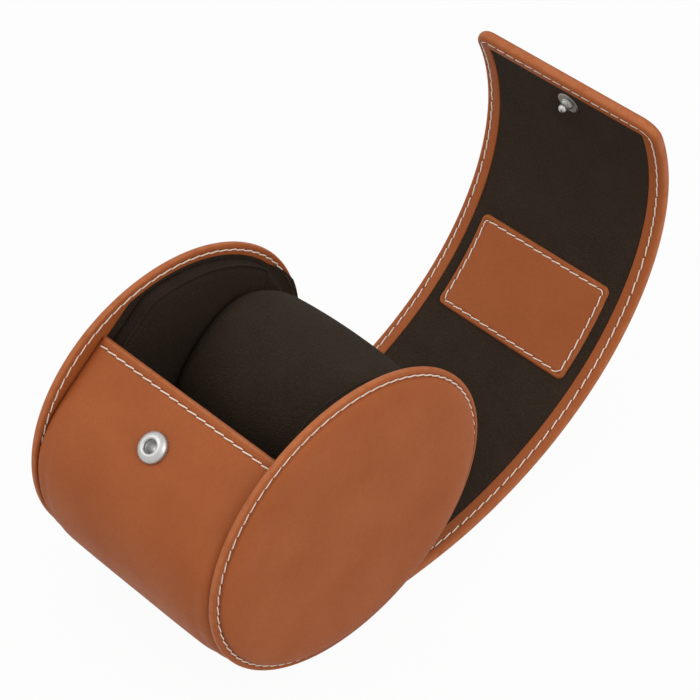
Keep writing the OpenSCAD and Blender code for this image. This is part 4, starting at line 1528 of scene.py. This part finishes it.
            # For the last strip, the far end is taken short of the stud's washer.
            s1 = self.stud_s - self.washer_clear
        ends = self.line.at(np.array([s0 + self.blend_in, s1 - self.blend_in]), 0.0)
        spots = self.case.place(0.0, ends[:, 0], ends[:, 1]) * MM
        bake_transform(obj)

    def build(self) -> None:
        """Makes the strips of leather, lining and stitches, hides the CAD parts that they replace,
        and fastens each piece.
        """
        rows = [self.stitch_path(face) for face in FlapFace]
        for strip, (s0, s1) in enumerate(zip(self.cuts[:-1], self.cuts[1:])):
            shell, ends = self.leather_shell(s0, s1)
            leather = make_piece(f"flap_leather_strip_{strip}", shell, self.finishes.leather, ends)
            shell, ends = self.lining_shell(s0, s1)
            # The lining strips get the suede that is painted lighter.
            lining = make_piece(f"flap_suede_strip_{strip}", shell, self.finishes.flap_suede_painted_lighter, ends)
            segment = int(self.bodies(strip)[1][-1])
            if strip != self.rigid_strip - 1:
                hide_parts(f"flap_leather_{segment}", f"flap_board_{segment}")
                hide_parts(f"flap_lining_{segment}")
            sewn = [shell for row in rows for shell in self.sewn_rows(*row, s0, s1)]
            stitches = make_piece(f"flap_stitches_{strip}", joined(sewn), self.finishes.thread)
            for piece in (leather, lining, stitches):
                self.fasten(piece, strip)


@dataclass
class LabelPatch:
    """Bare leather patch sewn on the flap's lining, with rounded corners and a stitched border."""

    finishes: Finishes
    flap: Flap
    s0: float = 87.6
    s1: float = 118.5
    half_w: float = 23.9
    corner_r: float = 2.0
    stitch_at: float = 1.6
    rise: float = 1.0
    edge_r: float = 0.6
    sunk: float = 0.42
    channel: float = 0.28
    channel_w: float = 0.34

    # Insets at which the edge and the channel get their points.
    INSETS = (
        0.0, 0.03, 0.1, 0.22, 0.4, 0.6, 0.9, 1.15, 1.3, 1.42, 1.52, 1.6, 1.68, 1.78, 1.9, 2.05,
        2.4, 3.2,
    )

    def inset(self, s: Array, x: Array) -> Array:
        """Distance from the patch's outline, whose corners are rounded by corner_r."""
        to_end = np.minimum(s - self.s0, self.s1 - s)
        return np.maximum(inset_in_corner(self.half_w - np.abs(x), to_end, self.corner_r), 0.0)

    def depth(self, e: Array) -> Array:
        """Depth of the patch's face in the flap at inset e: its foot, less a rise that rounds off
        at the edge, with the channel and a soft middle."""
        rise = self.rise * (1 - round_off(e, self.edge_r)) + 0.12 * smooth((e - 2.0) / 5.0)
        return self.foot() + rise - self.channel * ridge(e, self.stitch_at, self.channel_w)

    def foot(self) -> float:
        """Depth in the flap at which the patch sits."""
        return self.flap.thick - self.sunk

    def shell(self) -> Shell:
        """Loops across the patch, out underneath and back over the top."""
        near, line = np.array(self.INSETS), self.flap.line
        side = self.half_w - near
        s_mid = np.linspace(self.s0 + near[-1], self.s1 - near[-1], 26)[1:-1]
        s = np.concatenate([self.s0 + near, s_mid, self.s1 - near[::-1]])[:, None]
        v = np.concatenate([-side, np.linspace(-side[-1], side[-1], 40)[1:-1], side[::-1]])
        r = self.corner_r
        over = np.clip(r - np.minimum(s - self.s0, self.s1 - s), 0, r)
        x = v / self.half_w * (self.half_w - r + np.sqrt(r**2 - over**2))
        e = self.inset(s, x)
        top = line.at(s, self.depth(e))
        low = np.broadcast_to(line.at(s, self.foot()), top.shape)
        marks = marks_at(out_and_back(e, e), 0.6, self.stitch_at, 0.4)
        return Shell.band(self.flap.loops(x, low, top), marks)

    def stitch_shell(self) -> Shell:
        """Stitches round the patch: four straight rows joined by quarter circles."""
        at, line = self.stitch_at, self.flap.line
        r = max(self.corner_r - at, 0.5)
        w, s0, s1 = self.half_w - at - r, self.s0 + at + r, self.s1 - at - r
        turn = np.linspace(-np.pi / 2, 0, 8)
        centres = np.array([(w, s0), (w, s1), (-w, s1), (-w, s0)])
        arcs = [arc(centre, r, turn + n * np.pi / 2) for n, centre in enumerate(centres)]
        path = []
        for before, corner, count in zip(arcs[-1:] + arcs[:-1], arcs, (100, 80, 100, 80)):
            path += [np.linspace(before[-1], corner[0], count), corner]
        path = np.concatenate(path)
        new = np.concatenate([[True], np.linalg.norm(np.diff(path, axis=0), axis=1) > 1e-6])
        x, s = path[new].T
        p = line.at(s, self.depth(at))
        normal = np.column_stack([np.zeros(len(s)), line.inward(s)])
        return Stitching().row(self.flap.case.place(x, p[:, 0], p[:, 1]), normal, closed=True)

    def build(self) -> None:
        """Makes the patch and its stitches."""
        patch = make_piece("label_patch_leather", self.shell(), self.finishes.leather)
        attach(patch, "flap_6")
        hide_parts("label_patch")
        stitches = make_piece("label_patch_stitches", self.stitch_shell(), self.finishes.thread)
        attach(stitches, "flap_6")


# ---- snap --------------------------------------------------------------------------------------


@dataclass
class Turned:
    """A turned metal piece: a half outline spun about an axis that leans about X."""

    centre: Array
    lean: float
    steps: int = 96

    def shell(self, outline: Outline) -> Shell:
        """Spins an outline.

        Args:
            outline: Radius and height pairs in order; a first and last radius of 0 closes the
                poles, otherwise the outline closes on itself.

        Returns:
            The closed shell.
        """
        o = np.array(outline, float)
        t = full_turn(self.steps)
        up = np.array([0.0, -math.sin(self.lean), math.cos(self.lean)])
        ahead = np.array([0.0, math.cos(self.lean), math.sin(self.lean)])
        radial = np.cos(t)[:, None] * np.array([1.0, 0, 0]) + np.sin(t)[:, None] * ahead
        rings = self.centre + o[:, 0, None, None] * radial[None] + o[:, 1, None, None] * up
        if o[0, 0] < 1e-9:
            return Shell.loft(rings[1:-1], rings[0, 0], rings[-1, 0])
        rings = np.concatenate([rings, rings[:1]])
        return Shell(rings.reshape(-1, 3), grid_faces(*rings.shape[:2]))


@dataclass
class Snap:
    """The snap: a domed socket on the front panel and a ball stud near the flap's tip."""

    finishes: Finishes
    barrel: Barrel
    flap: Flap
    cap_r: float = 4.35
    cap_h: float = 2.05
    hole_r: float = 1.9
    ball_r: float = 1.32
    ball_at: float = 2.15

    # Radius and height of the socket's cup, of the stud's collar and of the washer.
    CUP = [
        (0.0, -3.4), (3.3, -3.4), (3.4, -3.3), (3.4, -0.1), (2.1, -0.1), (2.0, 0.7), (1.93, 0.95),
        (1.8, 0.85), (1.68, 0.4), (1.56, 0.0), (1.36, -0.45), (1.05, -0.82), (0.6, -1.08),
        (0.0, -1.16),
    ]
    COLLAR = [
        (1.72, 0.3), (1.8, 0.4), (1.72, 0.52), (1.42, 0.58), (1.4, 0.66), (1.6, 0.72),
        (1.66, 0.84), (1.58, 0.98), (1.3, 1.04), (1.26, 1.1), (1.0, 1.16), (0.9, 1.22),
    ]
    WASHER = [
        (1.0, -0.3), (3.2, -0.3), (3.5, -0.05), (3.53, 0.12), (3.42, 0.26), (3.2, 0.34),
        (2.8, 0.34), (2.4, 0.28), (1.9, 0.34), (1.0, 0.36),
    ]

    def cap_outline(self) -> Outline:
        """Half outline of the cap: a rolled outer brim, a full dome, and a lip that turns into the
        hole."""
        r, h, hole, foot = self.cap_r, self.cap_h, self.hole_r, 0.14
        core = hole + 0.55
        brim = [(r - 0.3, -0.3), (r, -0.12), (r + 0.02, 0.02), (r, foot)]
        turn = np.radians(np.arange(6, 91, 6))
        out, up = core + (r - core) * np.cos(turn) ** 1.25, foot + (h - foot) * np.sin(turn) ** 0.9
        lip = [(core - 0.22, h - 0.03), (core - 0.4, h - 0.12), (hole + 0.03, h - 0.28)]
        bore = [(hole - 0.06, h - 0.5), (hole - 0.08, 0.9), (hole + 0.1, 0.6), (hole + 0.3, -0.3)]
        return brim + list(zip(out, up)) + lip + bore

    def stud_outline(self) -> Outline:
        """Half outline of the stud: a post, a stepped collar, and a ball on a short neck."""
        r, at = self.ball_r, self.ball_at
        turn = np.radians(np.arange(48, 176, 8))
        ball = list(zip(r * np.sin(turn), at - r * np.cos(turn)))
        return [(0.0, -1.2), (1.1, -1.2), (1.1, 0.3)] + self.COLLAR + ball + [(0.0, at + r)]

    def socket(self) -> None:
        """Makes the socket's cap and cup, square to the front panel."""
        c, metal = self.barrel.case, self.finishes.nickel
        p = self.barrel.wall.at(self.barrel.socket_at, 0.0)
        seat = Turned(c.place(0.0, p[0], p[1]), math.radians(c.front_slope))
        cap = make_piece("socket_cap", seat.shell(self.cap_outline()), metal)
        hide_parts("snap_socket_cap")
        cup = make_piece("socket_cup", seat.shell(self.CUP), metal)
        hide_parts("snap_socket_cup")
        for piece in (cap, cup):
            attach(piece, "case")
        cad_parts["snap_spring"].data.materials.clear()
        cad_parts["snap_spring"].data.materials.append(metal)

    def stud(self) -> None:
        """Makes the ball stud and its washer, square to the flap's lining."""
        flap = self.flap
        p = flap.line.at(flap.stud_s, flap.thick - flap.lining_low)
        lean = float(flap.line.turn(np.array(flap.stud_s)))
        base = Turned(flap.case.place(0.0, p[0], p[1]), lean)
        washer = make_piece("stud_washer", base.shell(self.WASHER), self.finishes.dull_nickel)
        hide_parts("snap_stud_washer")
        stud = make_piece("ball_stud", base.shell(self.stud_outline()), self.finishes.nickel)
        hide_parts("snap_stud", "snap_stud_anchor")
        for piece in (washer, stud):
            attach(piece, "flap_9")

    def build(self) -> None:
        """Makes both halves of the snap."""
        self.socket()
        self.stud()


# ---- studio ------------------------------------------------------------------------------------


@dataclass
class Studio:
    """Pale floor, soft lamps and the camera."""

    azimuth: float = 45.6
    elevation: float = 42.2
    distance: float = 640.6
    lens: float = 126.6
    shift_right: float = 24.3
    shift_up: float = 26.7
    world: float = 0.8
    lit_middle: tuple[float, float, float] = (0, 0.03, 0.05)
    floor_half: float = 3.0
    floor_z: float = -0.0004
    floor_white: float = 0.95

    def camera(self) -> None:
        """Places the camera on its line of sight and gives it the lens."""
        a, e = math.radians(self.azimuth), math.radians(self.elevation)
        back = Vector((math.sin(a) * math.cos(e), -math.cos(a) * math.cos(e), math.sin(e)))
        right = (-back).cross(Vector((0, 0, 1))).normalized()
        up = right.cross(-back).normalized()
        data = bpy.data.cameras.new("camera")
        data.lens = self.lens
        data.sensor_width = 36.0
        data.clip_start, data.clip_end = 0.02, 20.0
        cam = add_object("camera", data)
        place = Vector((0, 0, CASE.axis_z)) + back * self.distance
        cam.location = (place + right * self.shift_right + up * self.shift_up) * MM
        self.face(cam, -back)
        bpy.context.scene.camera = cam

    def face(self, obj: bpy.types.Object, way: Vector) -> None:
        """Turns a camera or lamp to look along way."""
        obj.rotation_mode = "QUATERNION"
        obj.rotation_quaternion = way.to_track_quat("-Z", "Y")

    def lamp(self, name: str, place: tuple[float, float, float], size: float, power: float) -> None:
        """Adds a square lamp that faces the middle of the case.

        Args:
            name: Name of the lamp.
            place: Where it stands, in metres.
            size: Length of its sides, in metres.
            power: Its power in watts.
        """
        data = bpy.data.lights.new(name, "AREA")
        data.shape = "SQUARE"
        data.size = size
        data.energy = power
        lamp = add_object(name, data)
        lamp.location = place
        self.face(lamp, Vector(self.lit_middle) - Vector(place))

    def seen_white(
        self, tree: Tree, inner: bpy.types.NodeSocket, share: float
    ) -> bpy.types.NodeSocket:
        """Mixes white light into a shader for rays of the camera, of gloss and of glass.

        Args:
            tree: Nodes of the material or world.
            inner: Shader that all other rays see.
            share: Share of the white for those rays.

        Returns:
            The mixed shader.
        """
        path = tree.node("LightPath").outputs
        seen = tree.math("MAXIMUM", path["Is Camera Ray"], path["Is Glossy Ray"])
        seen = tree.math("MAXIMUM", seen, path["Is Transmission Ray"])
        kind = "Background" if inner.node.type == "BACKGROUND" else "Emission"
        white = tree.node(kind, {"Color": (1, 1, 1, 1), "Strength": 1.0}).outputs[0]
        factor = tree.math("MULTIPLY", seen, share)
        return tree.node("MixShader", {0: factor, 1: inner, 2: white}).outputs[0]

    def floor(self) -> None:
        """A pale floor that looks white and keeps the object's shadow."""
        r, z = self.floor_half, self.floor_z
        mesh = bpy.data.meshes.new("floor")
        mesh.from_pydata([(-r, -r, z), (r, -r, z), (r, r, z), (-r, r, z)], [], [(0, 1, 2, 3)])
        obj = add_object("floor", mesh)
        mat = bpy.data.materials.new("pale_floor")
        mat.use_nodes = True
        nodes, tree = mat.node_tree.nodes, Tree(mat.node_tree)
        shader = nodes["Principled BSDF"]
        tree.fill(shader, {"Base Color": (0.62, 0.62, 0.62, 1)})
        tree.fill(shader, {"Roughness": 0.9, "Specular IOR Level": 0.1})
        white = self.seen_white(tree, shader.outputs[0], self.floor_white)
        tree.fill(nodes["Material Output"], {"Surface": white})
        mesh.materials.append(mat)

    def surround(self) -> None:
        """A soft grey-white world, seen white by the camera."""
        world = bpy.data.worlds.new("studio")
        bpy.context.scene.world = world
        world.use_nodes = True
        nodes, tree = world.node_tree.nodes, Tree(world.node_tree)
        back = nodes["Background"]
        tree.fill(back, {"Color": (1, 1, 1, 1), "Strength": self.world})
        white = self.seen_white(tree, back.outputs[0], 1.0)
        tree.fill(nodes["World Output"], {"Surface": white})

    def build(self) -> None:
        """Sets the view, floor, world and lamps."""
        bpy.context.scene.view_settings.view_transform = "Standard"
        self.camera()
        self.floor()
        self.surround()
        self.lamp("key", (-0.45, -0.5, 0.95), 0.7, 2.6)
        self.lamp("fill", (0.38, 0.04, 0.4), 0.36, 0.8)


def main() -> None:
    """Builds every sub-assembly in order."""
    logging.basicConfig(level=logging.INFO, format="%(name)s %(message)s")
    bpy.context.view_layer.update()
    finishes = Finishes()
    barrel = Barrel(finishes)
    barrel.build()
    for side in Side:
        EndDisc(finishes, side).build()
        SidePad(finishes, side).build()
    Pillow(finishes).build()
    flap = Flap(finishes)
    flap.build()
    LabelPatch(finishes, flap).build()
    Snap(finishes, barrel, flap).build()
    Studio().build()


if __name__ == "__main__":
    main()
